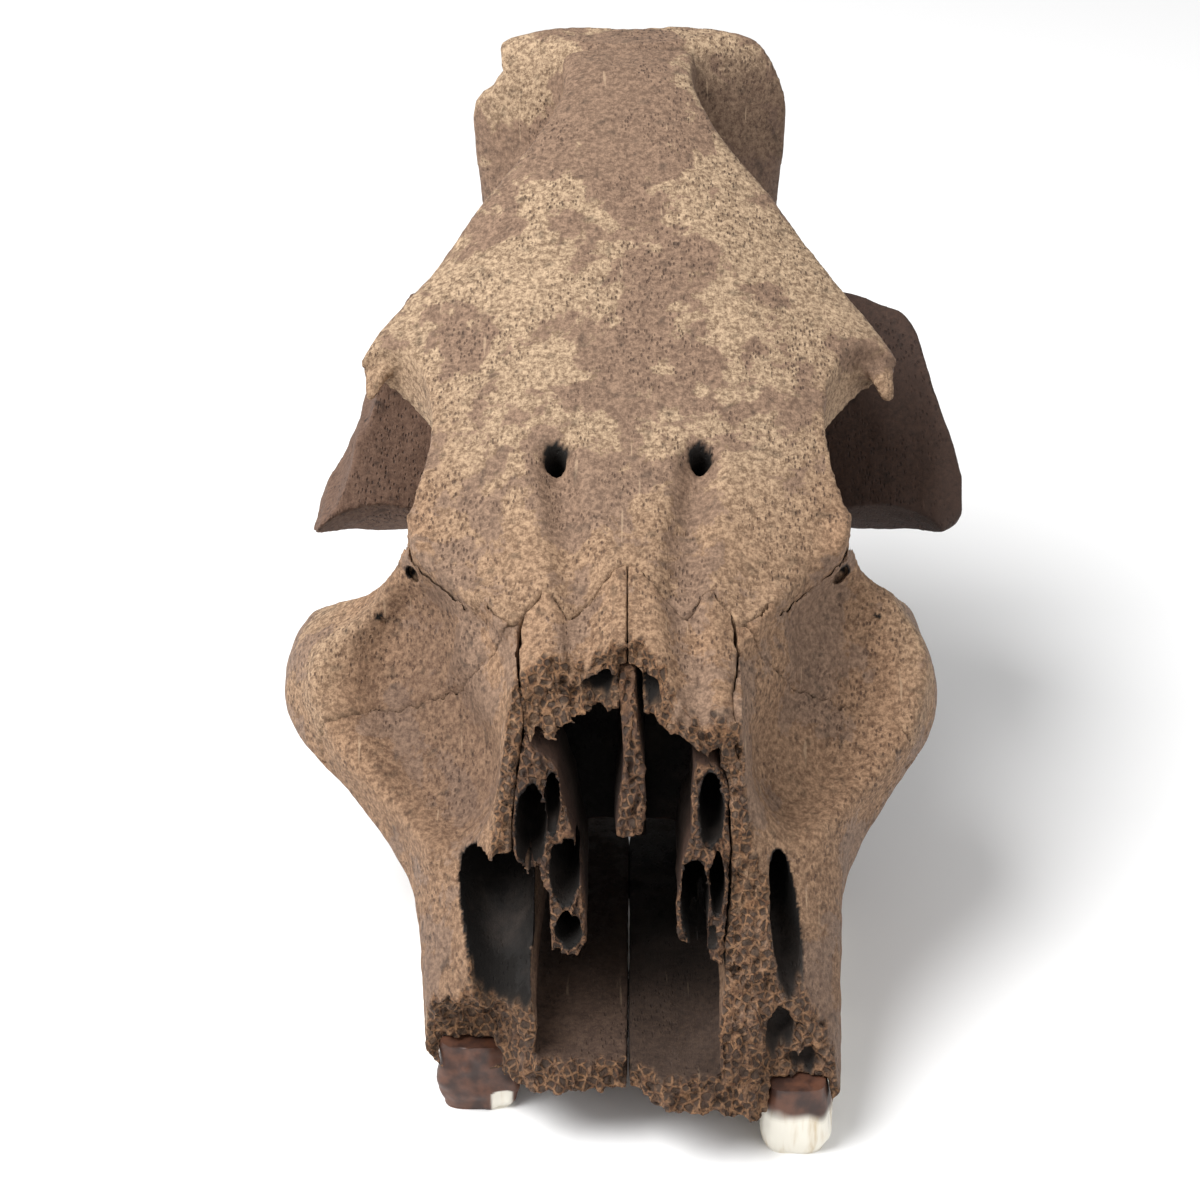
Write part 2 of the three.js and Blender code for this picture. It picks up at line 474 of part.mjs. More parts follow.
for (const [side, label] of [[1, 'left'], [-1, 'right']]) {
  for (const kind of side > 0 ? TOOTH_ROW : [WORN_MOLAR, ...TOOTH_ROW.slice(2)]) {
    letIn(`${kind[0]}_${label}`, (margin) => tooth(kind, side, margin), ENAMEL);
  }
}
const capsule = (margin) => limb(EAR_CAPSULE.map(([x, y, z, rx, ry], i) => [
  x, y, z + margin * (i === 0 ? -1 : i === EAR_CAPSULE.length - 1 ? 1 : 0), rx + margin, ry + margin]));
letIn('tympanic_left', capsule, BONE);
letIn('tympanic_right', (margin) => otherSide(capsule(margin)), BONE);
letIn('nasal_septum', partition, DARK_BONE);
letIn('concha_left', scroll(SCROLL_LEFT, CELLS_LEFT), DARK_BONE);
letIn('concha_right', scroll(SCROLL_RIGHT, CELLS_RIGHT), DARK_BONE);
takePair('nasal', nasalRegion, BONE);
takePair('temporal', temporalRegion, DARK_BONE);
take('occipital', occipitalRegion, BONE);
take('frontal', frontalRegion, BONE);
take('parietal', parietalRegion, BONE);
takePair('zygomatic', zygomaticRegion, BONE);
takePair('lacrimal', lacrimalRegion, BONE);
take('ethmoid', ethmoidRegion, DARK_BONE);
take('sphenoid', sphenoidRegion, DARK_BONE);
takePair('palatine', palatineRegion, DARK_BONE);
takePair('maxilla', (margin) => block([SEAM / 2 - margin, 90], [-140, 200], [-20, 200]), BONE);

// The part's origin is the middle of its footprint, on the table.
const bounds = new THREE.Box3().setFromObject(part);
part.position.set(-(bounds.min.x + bounds.max.x) / 2, -(bounds.min.y + bounds.max.y) / 2, -bounds.min.z);

export default part;
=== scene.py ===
import bmesh
import bpy
import numpy as np
from mathutils import Matrix, Vector


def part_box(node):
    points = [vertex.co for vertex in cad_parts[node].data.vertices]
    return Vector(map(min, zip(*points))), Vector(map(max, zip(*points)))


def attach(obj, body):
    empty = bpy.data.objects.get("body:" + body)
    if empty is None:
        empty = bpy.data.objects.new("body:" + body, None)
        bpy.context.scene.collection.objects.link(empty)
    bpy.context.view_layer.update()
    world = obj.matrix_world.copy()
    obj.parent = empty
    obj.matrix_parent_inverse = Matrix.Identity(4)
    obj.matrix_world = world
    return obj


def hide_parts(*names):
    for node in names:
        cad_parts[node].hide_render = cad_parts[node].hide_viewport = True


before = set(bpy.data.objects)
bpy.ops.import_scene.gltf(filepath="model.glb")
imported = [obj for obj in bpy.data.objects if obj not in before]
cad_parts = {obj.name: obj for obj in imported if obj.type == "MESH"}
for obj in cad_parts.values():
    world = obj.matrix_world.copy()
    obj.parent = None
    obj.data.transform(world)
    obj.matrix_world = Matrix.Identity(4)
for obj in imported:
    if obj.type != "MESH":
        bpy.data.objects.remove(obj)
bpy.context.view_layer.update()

# The braincase and forehead: one hollow vault of bone plates that have grown together, flat and broad
# between the eyes. Like the whole skull it is drawn in millimetres: y = 0 is the seam between nose and
# forehead, the broken snout points to -Y, +X is the animal's left, and z = 0 is the ground under the teeth.
# Half sections across it: y, then [x, z] of the middle, quarter, rim, under the rim, upper wall, widest
# wall, lower wall, base edge and base middle.
VAULT = [
    [-38, [0, 84], [11, 83.5], [20, 78.5], [20, 75], [17, 73], [13, 73], [9, 73], [4, 73], [0, 73]],
    [-20, [0, 92], [11.5, 91.3], [22, 86], [22, 81.5], [20, 80], [15, 80], [10, 80], [5, 80], [0, 80]],
    [-8, [0, 97.6], [12, 97], [24.6, 90.5], [25, 84], [23, 80], [18, 78], [12, 78], [6, 78], [0, 78]],
    [5, [0, 103.7], [15, 103], [33, 95], [33.5, 88], [28, 80], [24, 70], [19, 58], [12, 36], [0, 34]],
    [16, [0, 109], [19, 108.5], [44, 98.8], [43.5, 93], [33, 84], [28, 72], [20, 52], [13, 35], [0, 33.5]],
    [30, [0, 115.4], [21, 115], [51, 105.5], [49.5, 100], [34, 90], [27, 74], [19, 50], [13, 35], [0, 33.5]],
    [46, [0, 122.4], [24, 121.5], [57, 110.5], [55, 105], [35, 95], [27, 78], [19, 54], [13, 38], [0, 35]],
    [58, [0, 127.6], [26, 126], [59.5, 114.3], [57.5, 109], [36, 99], [27.5, 82], [18, 60], [12, 46], [0, 46]],
    [66, [0, 131.2], [27, 129.5], [59.3, 117.3], [56, 112], [36, 102], [28, 84], [18, 62], [12, 46], [0, 46]],
    [74, [0, 134.7], [26, 133], [54.6, 121.7], [51, 116], [35, 106], [29.5, 86], [19, 62], [12, 46], [0, 46]],
    [88, [0, 140.8], [22, 139.5], [44, 130], [41, 124], [33.5, 112], [34, 90], [26, 64], [13, 44], [0, 44]],
    [104, [0, 147.8], [17, 147], [33.5, 140], [31, 133], [30, 118], [36.5, 94], [30, 66], [13, 42], [0, 42]],
    [120, [0, 154.4], [11, 154], [21.3, 150.4], [21, 142], [27, 124], [36, 98], [31, 66], [13, 40], [0, 40]],
    [136, [0, 160.2], [8, 159.8], [15, 157.5], [15.5, 148], [23, 128], [33, 100], [30, 66], [13, 39], [0, 39]],
    [150, [0, 161.6], [8, 161.4], [15.3, 160.4], [16.5, 152], [22, 130], [32, 102], [29, 66], [12, 38], [0, 38]],
]


def spline(knots, per_span, closed=False):
    """Curves through knots along axis 0. From knot b to knot c each is the cubic whose ends are b and c and
    whose end slopes weigh the chords to the knots before and after by the square roots of their lengths."""
    if closed:
        before, start, end, after = (np.roll(knots, shift, axis=0) for shift in (1, 0, -1, -2))
    else:
        first, last = 2 * knots[:1] - knots[1:2], 2 * knots[-1:] - knots[-2:-1]
        row = np.concatenate([first, knots, last])
        before, start, end, after = row[:-3], row[1:-2], row[2:-1], row[3:]

    def gap(p, q):
        """The square root of the distance from p to q."""
        return np.sqrt(np.maximum(np.linalg.norm(q - p, axis=-1, keepdims=True), 1e-6))

    d0, d1, d2 = gap(before, start), gap(start, end), gap(end, after)
    leave = ((start - before) / d0 - (end - before) / (d0 + d1) + (end - start) / d1) * d1
    arrive = ((end - start) / d1 - (after - start) / (d1 + d2) + (after - end) / d2) * d1
    t = np.linspace(0, 1, per_span, endpoint=False)[None, :, None, None]
    start, end, leave, arrive = (v[:, None] for v in (start, end, leave, arrive))
    curve = ((2 * t**3 - 3 * t**2 + 1) * start + (t**3 - 2 * t**2 + t) * leave
             + (3 * t**2 - 2 * t**3) * end + (t**3 - t**2) * arrive)
    curve = curve.reshape(-1, *knots.shape[1:])
    return curve if closed else np.concatenate([curve, knots[-1:]])


def as_object(name, points, faces):
    """A mesh object with these points, turned inside out if its signed volume, the sum of a . (b x c) / 6
    over its triangles a b c, is negative."""
    corner = [points[faces[:, k]] for k in range(3)]
    volume = np.einsum("ij,ij->i", corner[0], np.cross(corner[1], corner[2])).sum()
    if volume < 0:
        faces = faces[:, ::-1]
    mesh = bpy.data.meshes.new(name)
    mesh.from_pydata(points, [], faces.tolist())
    made = bpy.data.objects.new(name, mesh)
    bpy.context.scene.collection.objects.link(made)
    return made


def shell(name, grid):
    """A closed skin over a grid of rings: two triangles between neighbouring points of neighbouring rings,
    and a fan from the middle of each end ring to its points."""
    rings, around = grid.shape[:2]
    middles = grid[[0, -1]].mean(axis=1)
    points = np.concatenate([grid.reshape(-1, 3), middles])
    i, j = np.meshgrid(np.arange(rings - 1), np.arange(around), indexing="ij")
    a, b = (i * around + j).ravel(), (i * around + (j + 1) % around).ravel()
    walls = np.concatenate([np.stack([a, b, a + around], 1), np.stack([b, b + around, a + around], 1)])
    j = np.arange(around)
    turn = (j + 1) % around
    last = (rings - 1) * around
    start_fan = np.stack([turn, j, np.full(around, rings * around)], 1)
    end_fan = np.stack([last + j, last + turn, np.full(around, rings * around + 1)], 1)
    return as_object(name, points, np.concatenate([walls, start_fan, end_fan]))


def loft(name, sections, along, around):
    """Like points of the sections joined by curves, and each ring closed by a curve through its points."""
    rails = spline(np.array(sections, float), along)
    rings = spline(rails.transpose(1, 0, 2), around, closed=True).transpose(1, 0, 2)
    return shell(name, rings)


def mirrored(half):
    """A whole ring from its right half: the inner points again, in reverse, with x changed in sign."""
    half = np.array(half, float)
    left = half[1:-1][::-1] * np.array([-1.0, 1, 1])
    return np.concatenate([half, left])


skull = loft("vault", [mirrored([[x, row[0], z] for x, z in row[1:]]) for row in VAULT], 8, 8)

# The nape: the hollowed plate at the back of the skull, with a sharp crest on which the neck's muscles
# pulled. Its right corner is broken off in a ragged line.
# Half plans of it: z, then [x, y] of the back's middle, the back's side, the crest's edge, its front, the
# core.
NAPE = [
    [38, [0, 146], [7, 146.5], [13, 142], [11, 132], [0, 128]],
    [58, [0, 148], [14, 149], [28, 143], [26, 130], [0, 126]],
    [78, [0, 151], [18, 151], [37, 141], [33, 128], [0, 126]],
    [98, [0, 154], [18, 154.5], [36.5, 148], [30, 134], [0, 128]],
    [118, [0, 157], [17, 159], [36.5, 155.5], [26, 140], [0, 130]],
    [135, [0, 160], [18, 163], [38.5, 158.5], [21.5, 146], [0, 134]],
    [145, [0, 162], [19, 165.5], [38.6, 159], [19, 149], [0, 138]],
    [154, [0, 164.5], [19, 167.5], [35.4, 161], [17, 151], [0, 142]],
    [159.5, [0, 165.5], [17, 168], [30.5, 163], [15, 153], [0, 146]],
    [162, [0, 164.5], [14, 166], [22, 162.5], [12, 155], [0, 152]],
]
# What broke off lies beyond this line, drawn from the front as [x, z].
LOST_CREST = [[-27, 170], [-31.4, 158], [-29.6, 153], [-37.4, 146], [-39.6, 138], [-60, 138]]
JAG = 0.9          # how far a broken edge wanders


def turn_outwards(made):
    """Recalculates a closed mesh's faces so that they look outwards."""
    work = bmesh.new()
    work.from_mesh(made.data)
    bmesh.ops.recalc_face_normals(work, faces=work.faces)
    work.to_mesh(made.data)
    work.free()


def prism(name, outline, along, start, stop, margin=0.0):
    """An outline grown by a margin, each corner moved along its two sides' summed outward normals, and
    carried along one axis. It is drawn as [x, y] along z, [x, z] along y or [y, z] along x."""
    flat = np.array(outline, float)
    ahead, behind = np.roll(flat, -1, 0) - flat, flat - np.roll(flat, 1, 0)
    area = (flat[:, 0] * np.roll(flat[:, 1], -1) - np.roll(flat[:, 0], -1) * flat[:, 1]).sum()
    normals = [np.sign(area) * np.stack([s[:, 1], -s[:, 0]], 1) / np.linalg.norm(s, axis=1)[:, None]
               for s in (ahead, behind)]
    spread = margin / np.maximum(0.3, 1 + (normals[0] * normals[1]).sum(1, keepdims=True))
    flat = flat + (normals[0] + normals[1]) * spread
    order = {"x": [2, 0, 1], "y": [0, 2, 1], "z": [0, 1, 2]}[along]
    ends = [np.column_stack([flat, np.full(len(flat), level)])[:, order]
            for level in (start - margin, stop + margin)]
    count = len(flat)
    j = np.arange(count)
    turn = (j + 1) % count
    mesh = bpy.data.meshes.new(name)
    sides = np.stack([j, turn, turn + count, j + count], 1).tolist()
    mesh.from_pydata(np.concatenate(ends), [], [j[::-1].tolist(), (j + count).tolist()] + sides)
    made = bpy.data.objects.new(name, mesh)
    bpy.context.scene.collection.objects.link(made)
    turn_outwards(made)
    return made


def settle(made):
    """Gives an object the mesh that its modifiers make, and drops the modifiers."""
    graph = bpy.context.evaluated_depsgraph_get()
    mesh = bpy.data.meshes.new_from_object(made.evaluated_get(graph))
    made.modifiers.clear()
    made.data = mesh
    return made


def combine(made, others, operation):
    """Joins others to made, or cuts them from it, in one step, and removes them."""
    tools = bpy.data.collections.new("tools")
    for other in others:
        tools.objects.link(other)
    step = made.modifiers.new("step", "BOOLEAN")
    step.operation = operation
    step.operand_type = "COLLECTION"
    step.collection = tools
    step.solver = "MANIFOLD"
    settle(made)
    for other in others:
        bpy.data.objects.remove(other)
    bpy.data.collections.remove(tools)
    return made


def lattice(cells, seed):
    """A number from 0 to 1 for each whole-numbered cell, the fraction left by a large sine of its place."""
    mixed = np.sin(cells @ np.array([12.9898, 78.233, 37.719]) + seed * 4.1414) * 43758.5453
    return mixed - np.floor(mixed)


def noise(points, size, seed):
    """Smooth noise from -1 to 1: the lattice's numbers at the 8 corners of each point's cell, blended."""
    place = points / size
    cell = np.floor(place)
    part = place - cell
    part = part * part * (3 - 2 * part)
    total = np.zeros(len(points))
    for corner in np.ndindex(2, 2, 2):
        weight = np.prod(np.where(corner, part, 1 - part), axis=1)
        total += weight * lattice(cell + corner, seed)
    return 2 * total - 1


def ragged(outline, seed):
    """An outline with a point about every millimetre, each moved both ways by noise."""
    corners = np.array(outline, float)
    steps = np.maximum(1, np.linalg.norm(np.diff(corners, axis=0), axis=1).astype(int))
    rows = [start + (end - start) * np.arange(count)[:, None] / count
            for start, end, count in zip(corners[:-1], corners[1:], steps)]
    drawn = np.concatenate(rows + [corners[-1:]])
    flat = np.column_stack([drawn, np.zeros(len(drawn))])
    jag = np.stack([noise(flat, 3.6, seed + k) + 0.6 * noise(flat, 1.6, seed + k + 4) for k in (0, 1)], 1)
    return (drawn + JAG * jag).tolist()


nape = loft("nape", [mirrored([[x, y, row[0]] for x, y in row[1:]]) for row in NAPE], 8, 10)
combine(nape, [prism("lost_crest", ragged(LOST_CREST, 61) + [[-60, 170]], "y", 140, 180)], "DIFFERENCE")

# The cheeks: the hollow upper jaw and cheekbone on each side of the nose, with a bony crest below. The
# right one reaches a little farther out.
# Rings round the left cheek from the break back: ridge, upper hollow, lower hollow, facial crest, side, the
# wall under it, socket rim outside and inside, palate's edge, nasal wall and its top.
CHEEK = [
    [[21.5, -38, 79], [22.4, -46, 62], [25.5, -54, 46], [30.5, -62, 31], [38, -67, 20], [41, -71, 16],
     [41, -74, 12], [24, -74, 12], [19, -72, 19], [18, -60, 38], [17.5, -45, 66]],
    [[22.3, -27, 84.5], [23.4, -36, 66], [27.5, -44, 50], [34, -51, 34], [41, -55, 21], [42, -58, 16],
     [42.3, -60, 12], [24, -62, 12], [19, -60, 19], [18.5, -48, 40], [18, -34, 70]],
    [[23, -12, 88.5], [26, -20, 74], [32, -27, 59], [39.5, -31, 47], [43.4, -36, 30], [43, -41, 21],
     [42.6, -45, 12.5], [24, -46, 12.5], [19.5, -45, 19], [19, -34, 42], [18.5, -20, 74]],
    [[28, 1, 92], [32, -5, 80], [38.5, -10, 67], [46.5, -12, 55], [46, -17, 39], [43.5, -23, 27],
     [43, -28, 13], [23.5, -30, 13], [19.5, -30, 19], [19.5, -18, 44], [19, -6, 78]],
    [[39, 10.5, 94], [40.5, 6, 86], [48.5, 4, 73], [57, 2, 60], [56.5, 0, 47], [45, -5, 35],
     [43, -12, 14], [23, -14, 14], [19, -14, 19], [19.5, -4, 46], [22, 4, 76]],
    [[44, 17, 97], [46.5, 15, 89], [54.5, 16, 79], [64, 18, 68], [65.5, 16, 52], [47.5, 9, 38],
     [43, 2, 16], [22, 2, 15], [18, 2, 20], [19.5, 10, 46], [24, 14, 74]],
    [[46, 22, 95], [51.5, 26, 86], [57.5, 31, 78], [63.5, 33, 68], [67, 32, 52], [50, 26, 42],
     [41, 16, 20], [21, 16, 15], [17, 17, 20], [20, 22, 46], [28, 24, 72]],
    [[50, 31, 84], [56, 36, 78], [60.5, 40, 72], [63.5, 42, 66], [66, 43, 52], [52, 38, 45],
     [44, 30, 32], [24, 28, 16], [18, 28, 21], [21, 32, 46], [32, 32, 66]],
]
# How much farther out the right cheek reaches, row by row: beside the nose, at the side, at the sockets. The
# shares say how much of each a ring's eleven points take.
RIGHT_SHIFT = [[2.4, -2.6, -2.4], [2.4, -2.4, -2.4], [1.4, -1.4, -1.8], [0, 0.6, -0.8], [0, 3.6, 0],
               [0, 7, 0], [0, 8.5, 0], [0, 8, 0]]
RIGHT_SHARES = [[0, 1, 0.6, 0, 0, 0, 0, 0, 0, 0, 0], [0, 0, 0, 1, 1, 0, 0, 0, 0, 0, 0],
                [0, 0, 0, 0, 0, 1, 1, 0, 0, 0, 0]]
cheeks = {}
for side in (1, -1):
    rows = np.array(CHEEK, float)
    if side < 0:
        rows[..., 0] += np.array(RIGHT_SHIFT, float) @ RIGHT_SHARES
    cheeks[side] = loft("cheek", rows * [side, 1, 1], 10, 8)

# The roots of the cheek arches: a bony wing on each side, with the joint for the lower jaw on its
# underside. Both arches are broken off there, and the right wing's edge is ragged.
# Sections of the left one: x, then [y, z] of the top, front hollow, joint's front lip, joint's roof, back
# lip, back.
WING = [
    [26, [118, 112], [108, 90], [96, 62], [104, 56], [118, 54], [132, 84]],
    [40, [120, 112], [106, 90], [88, 64.5], [98, 60], [114, 55], [132, 86]],
    [52, [119, 111], [102, 90], [80, 67], [92, 62], [108, 56], [128, 86]],
    [60, [117.5, 109], [98, 90], [77, 68.5], [88.5, 63], [105, 57.5], [123, 86]],
    [66.5, [114, 107], [95, 90], [75.5, 69], [86, 64.5], [101, 60], [118, 84]],
    [72, [98, 95], [88, 87], [75, 70], [83, 66], [96, 62.5], [106, 81]],
    [76, [87.5, 85.5], [82.5, 80.5], [76, 71.5], [80, 68.5], [89, 67], [96, 76]],
    [77.8, [83, 80], [80.5, 77.5], [77.5, 73], [79, 71.5], [84, 71], [88, 75]],
]
# What broke off the right one lies beyond this line, drawn from the front as [x, z].
LOST_WING = [[-50, 130], [-52, 112], [-57, 103], [-61.4, 98], [-60.8, 92], [-62.6, 87], [-65.3, 84],
             [-66, 80], [-69.6, 73], [-74, 68.5], [-76, 40]]
wings = {side: loft("wing", [[[side * row[0], y, z] for y, z in row[1:]] for row in WING], 8, 10)
         for side in (1, -1)}
lost = prism("lost_wing", ragged(LOST_WING, 67) + [[-100, 40], [-100, 130]], "y", 50, 150)
combine(wings[-1], [lost], "DIFFERENCE")

# The palate: the bony plate between the tooth rows that parts the mouth from the nose. It has grown
# together with the braincase, nape, cheeks and wings.
PALATE_FLOOR = 19.0
PALATE_THICK = 5.0
GUM_HEIGHT = 12.0
PALATE_ROWS = [-80, -50, -20, 10, 39]
half = [[0, 0], [14, 0], [24, 1.5], [25, GUM_HEIGHT + 1 - PALATE_FLOOR], [18, -PALATE_THICK - 1],
        [0, -PALATE_THICK]]
palate = loft("palate", [mirrored([[x, y, PALATE_FLOOR + z] for x, z in half]) for y in PALATE_ROWS], 8, 8)
combine(skull, [nape, cheeks[1], wings[1], cheeks[-1], wings[-1], palate], "UNION")

# The eye sockets: two wide round hollows, open to the hollow of the temple behind and below.
# Round hollows and limbs are given as rings: x, y, z of the middle and two radii.
SOCKET = [[56, 42, 128, 13.5, 24], [55.5, 42, 112, 13.5, 24], [54.5, 43, 99, 16, 25], [54, 50, 84, 22, 25],
          [54, 60, 70, 24, 24], [56, 72, 54, 26, 26], [58, 80, 36, 26, 28]]


def round_body(name, stations, side=1, level="z", boxy=False, around=48):
    """Rings x = cx + rx cos a, with y or z = c + r sin a, level in z or facing along y. On a boxy ring the
    cosine and sine are drawn out to the square roots of their size."""
    stations = spline(np.array(stations, float)[:, None], 8)[:, 0]
    angle = np.linspace(0, 2 * np.pi, around, endpoint=False)
    across, up = np.cos(angle), np.sin(angle)
    if boxy:
        across, up = np.sign(across) * np.sqrt(abs(across)), np.sign(up) * np.sqrt(abs(up))
    x = side * (stations[:, 0, None] + stations[:, 3, None] * across)
    y = stations[:, 1, None] + (stations[:, 4, None] * up if level == "z" else 0 * up)
    z = stations[:, 2, None] + (0 * up if level == "z" else stations[:, 4, None] * up)
    return shell(name, np.stack([x, y, z], -1))


combine(skull, [round_body("socket", SOCKET, side, around=64) for side in (1, -1)], "DIFFERENCE")

# The limbs, solid bone grown onto the skull in pairs: a hook behind each socket, the long processes beside
# the hind opening on which the skull rests, the thin wings behind the palate and the two knobs of the
# neck's joint.
HOOK = [[52.5, 71, 118, 3.4, 4], [54.8, 66.5, 115.5, 2.9, 3.4], [56.6, 62.8, 112.6, 2.1, 2.4],
        [57.4, 60.6, 110, 0.9, 1.2]]
PROCESS = [[25, 133, 0, 3.4, 5], [25.4, 133.5, 8, 3.8, 6], [27, 135, 26, 4.6, 7.5], [29, 137, 46, 6.5, 9],
           [31, 138, 66, 7, 10]]
PTERYGOID = [[17, 36, 17, 2, 5], [17.5, 44, 24, 2.2, 10], [17.5, 52, 38, 2.6, 15], [16.5, 58, 54, 5, 20]]
KNOB = [[13.5, 151, 36.5, 0.5, 0.5], [13.5, 151, 40, 6, 7], [13.5, 151, 49, 9, 10.5], [13.5, 151, 58, 6, 7],
        [13.5, 151, 61.5, 0.5, 0.5]]
limbs = [round_body("limb", limb, side) for limb in (HOOK, PROCESS, PTERYGOID, KNOB) for side in (1, -1)]
combine(skull, limbs, "UNION")

# The hollows: the nose's air way and the throat, the hole for the spinal cord, the holes and gutters that
# carried nerves and vessels over the brow and by the eyes, and the air cells and canals that the broken
# snout lays open.
NASAL_CAVITY = [[0, -90, 44, 19.5, 25], [0, -45, 47, 19.5, 28], [0, -22, 50.5, 18, 31.5], [0, -5, 52, 17, 33],
                [0, 8, 53, 15.5, 32]]
THROAT = [[0, -8, 27, 15, 8], [0, 16, 26.3, 15, 7.3], [0, 44, 25.5, 15, 8], [0, 80, 24, 18, 16]]
SPINAL_HOLE = [[0, 128, 60, 8, 7], [0, 140, 60, 10, 9], [0, 156, 60, 11.5, 10.5], [0, 175, 61, 13, 12]]
BROW_HOLE = [[14, 34, 101, 1.2, 1.4], [15.2, 29, 109, 2.1, 2.6], [15.4, 25.4, 118, 2.3, 3.2]]
BROW_GUTTER = [[14.8, 27, 115.4, 2.6, 2.0], [13.6, 18, 112.2, 3.6, 2.6], [12.4, 6, 106.6, 4.2, 2.6],
               [12.2, -6, 100.8, 4.2, 2.2], [12.6, -20, 94.4, 4, 1.6], [13, -36, 86, 4, 1]]
TEAR_HOLES = [[[45.6, 26, 88, 0.8, 0.8], [45.8, 19, 90, 1.3, 1.5], [45.9, 10, 92.4, 1.4, 1.5]],
              [[53, 22, 79, 0.5, 0.5], [53.2, 17, 79.6, 0.8, 0.8], [53.2, 8, 80.5, 0.8, 0.8]]]
ROOF_CELLS = [[[-5.6, -40, 78, 3.4, 2.2], [-5.6, -18, 86.5, 3.4, 2.3], [-5.4, -6, 92.5, 2, 1.4]],
              [[3.4, -44, 76, 3, 2], [3.4, -21, 85.4, 3, 2], [3.4, -10, 90.6, 1.8, 1.3]]]
RIGHT_CANAL = [[-23.5, -66, 33, 8, 11], [-24.5, -46, 43.5, 8, 12], [-27, -28, 49, 7.5, 9],
               [-28, -14, 52, 4, 5]]
LEFT_CANAL = [[34.5, -62, 38, 3.8, 9.4], [32, -46, 43.5, 3.4, 10.4], [29.5, -34, 47, 3.2, 8],
              [28, -18, 51, 3, 4.5]]
LEFT_SOCKETS = [[[30, -70, 22, 3.2, 4.2], [30.5, -57, 25, 3.2, 4.4], [30.5, -50, 27, 2.2, 3]],
                [[36, -72, 15, 3.4, 2.4], [35.5, -60, 18, 3.6, 2.6], [35, -53, 20, 2.4, 1.8]]]


def smooth_step(value, low, high):
    """0 up to low, 1 from high on, and between them 3 t^2 - 2 t^3, where t runs from 0 to 1."""
    t = np.clip((value - low) / (high - low), 0, 1)
    return t * t * (3 - 2 * t)


def break_depth(x, z):
    """How far forward the break lies: a slanting plane, longer or shorter in places, and jagged by noise."""
    plane = -25 - np.maximum(-2, 88 - z) * 0.49
    high = smooth_step(z, 74, 84)
    roof = high * (5.5 - 9.5 * smooth_step(x, 2, 12))
    low = 1 - smooth_step(z, 20, 34)
    stump = low * (12 * (1 - smooth_step(x, -30, -17)) + 2)
    palate = -low * 6 * smooth_step(x, 1, 8) * (1 - smooth_step(x, 24, 30))
    jag = 0.8 * np.sin(1.3 * x + 0.8 * z) + 0.7 * np.sin(2.3 * x - 0.6 * z + 1.1)
    place = np.stack([x, 0 * x, z], -1).reshape(-1, 3)
    fine = (0.9 * noise(place, 3.1, 3) + 0.7 * noise(place, 1.5, 5)).reshape(x.shape)
    return plane + roof + stump + palate + jag + fine


def lost_snout():
    """All that lay in front of the break: slices in x, each the space from far forward back to the break."""
    x, z = np.meshgrid(np.arange(-84, 84.1, 1.0), np.arange(-6, 112.1, 1.0), indexing="ij")
    face = np.stack([x, break_depth(x, z), z], -1)
    front = np.stack([x, np.full_like(x, -130), z], -1)[:, [-1, 0]]
    return shell("lost_snout", np.concatenate([front, face], axis=1))


hollows = [lost_snout(), round_body("nose", NASAL_CAVITY, level="y", boxy=True, around=64),
           round_body("throat", THROAT, level="y", boxy=True), round_body("spine", SPINAL_HOLE, level="y")]
for side in (1, -1):
    hollows.append(round_body("brow_hole", BROW_HOLE, side))
    hollows.append(round_body("gutter", BROW_GUTTER, side, level="y"))
    hollows += [round_body("tear_hole", hole[::-1], side, level="y") for hole in TEAR_HOLES]
for tube in ROOF_CELLS + LEFT_SOCKETS + [RIGHT_CANAL, LEFT_CANAL]:
    hollows.append(round_body("cell", tube, level="y"))
combine(skull, hollows, "DIFFERENCE")

# The rooms in the skull for what is let into it: the cheek teeth, the ear capsules, the nose's partition
# and its two scrolls. Each room is the thing's own shape, grown by a seam's gap.
# A tooth is its name, middle y, length along the row, width, middle x and number of lobes.
TOOTH_ROW = [["premolar_4", -56, 13, 14.5, 33.8, 1], ["molar_1", -41.5, 15.5, 15.5, 34, 2],
             ["molar_2", -22, 22.5, 18.5, 33.6, 2], ["molar_3", 8, 36, 20, 32.4, 3]]
WORN_MOLAR = ["molar_1", -41.5, 15.5, 17.5, 31, 2]
EAR_CAPSULE = [[20, 117, 25, 4, 4], [20, 118, 33, 8, 10], [21, 119, 43, 10, 14], [22, 120, 54, 9, 13]]
# The partition is drawn as [y, z] from the side, and the scrolls as [x, z] from the front.
PARTITION = [[-50, 88], [-50, 62.5], [-36, 60.5], [-26, 57], [-14, 48], [-3, 37], [4, 35], [7.7, 35],
             [7.7, 88]]
PARTITION_SPAN = [-1.6, 2.8]
SCROLL_LEFT = [[13.2, 73], [17.5, 74], [19.8, 70], [20.4, 58], [20, 48], [18.6, 37.6], [16.5, 39],
               [14.5, 41.5], [10.2, 42], [9.8, 48], [11, 57], [12.6, 60]]
SCROLL_RIGHT = [[-20.5, 78], [-22, 70], [-23, 62], [-22.6, 56], [-18, 54.6], [-15.6, 50], [-15.2, 40],
                [-10, 39.6], [-8.4, 42], [-8.9, 50], [-10.8, 62], [-14, 72]]
SCROLL_SPAN = [-70, -12]          # from front to back
SEAM = 0.3          # the gap left at a seam


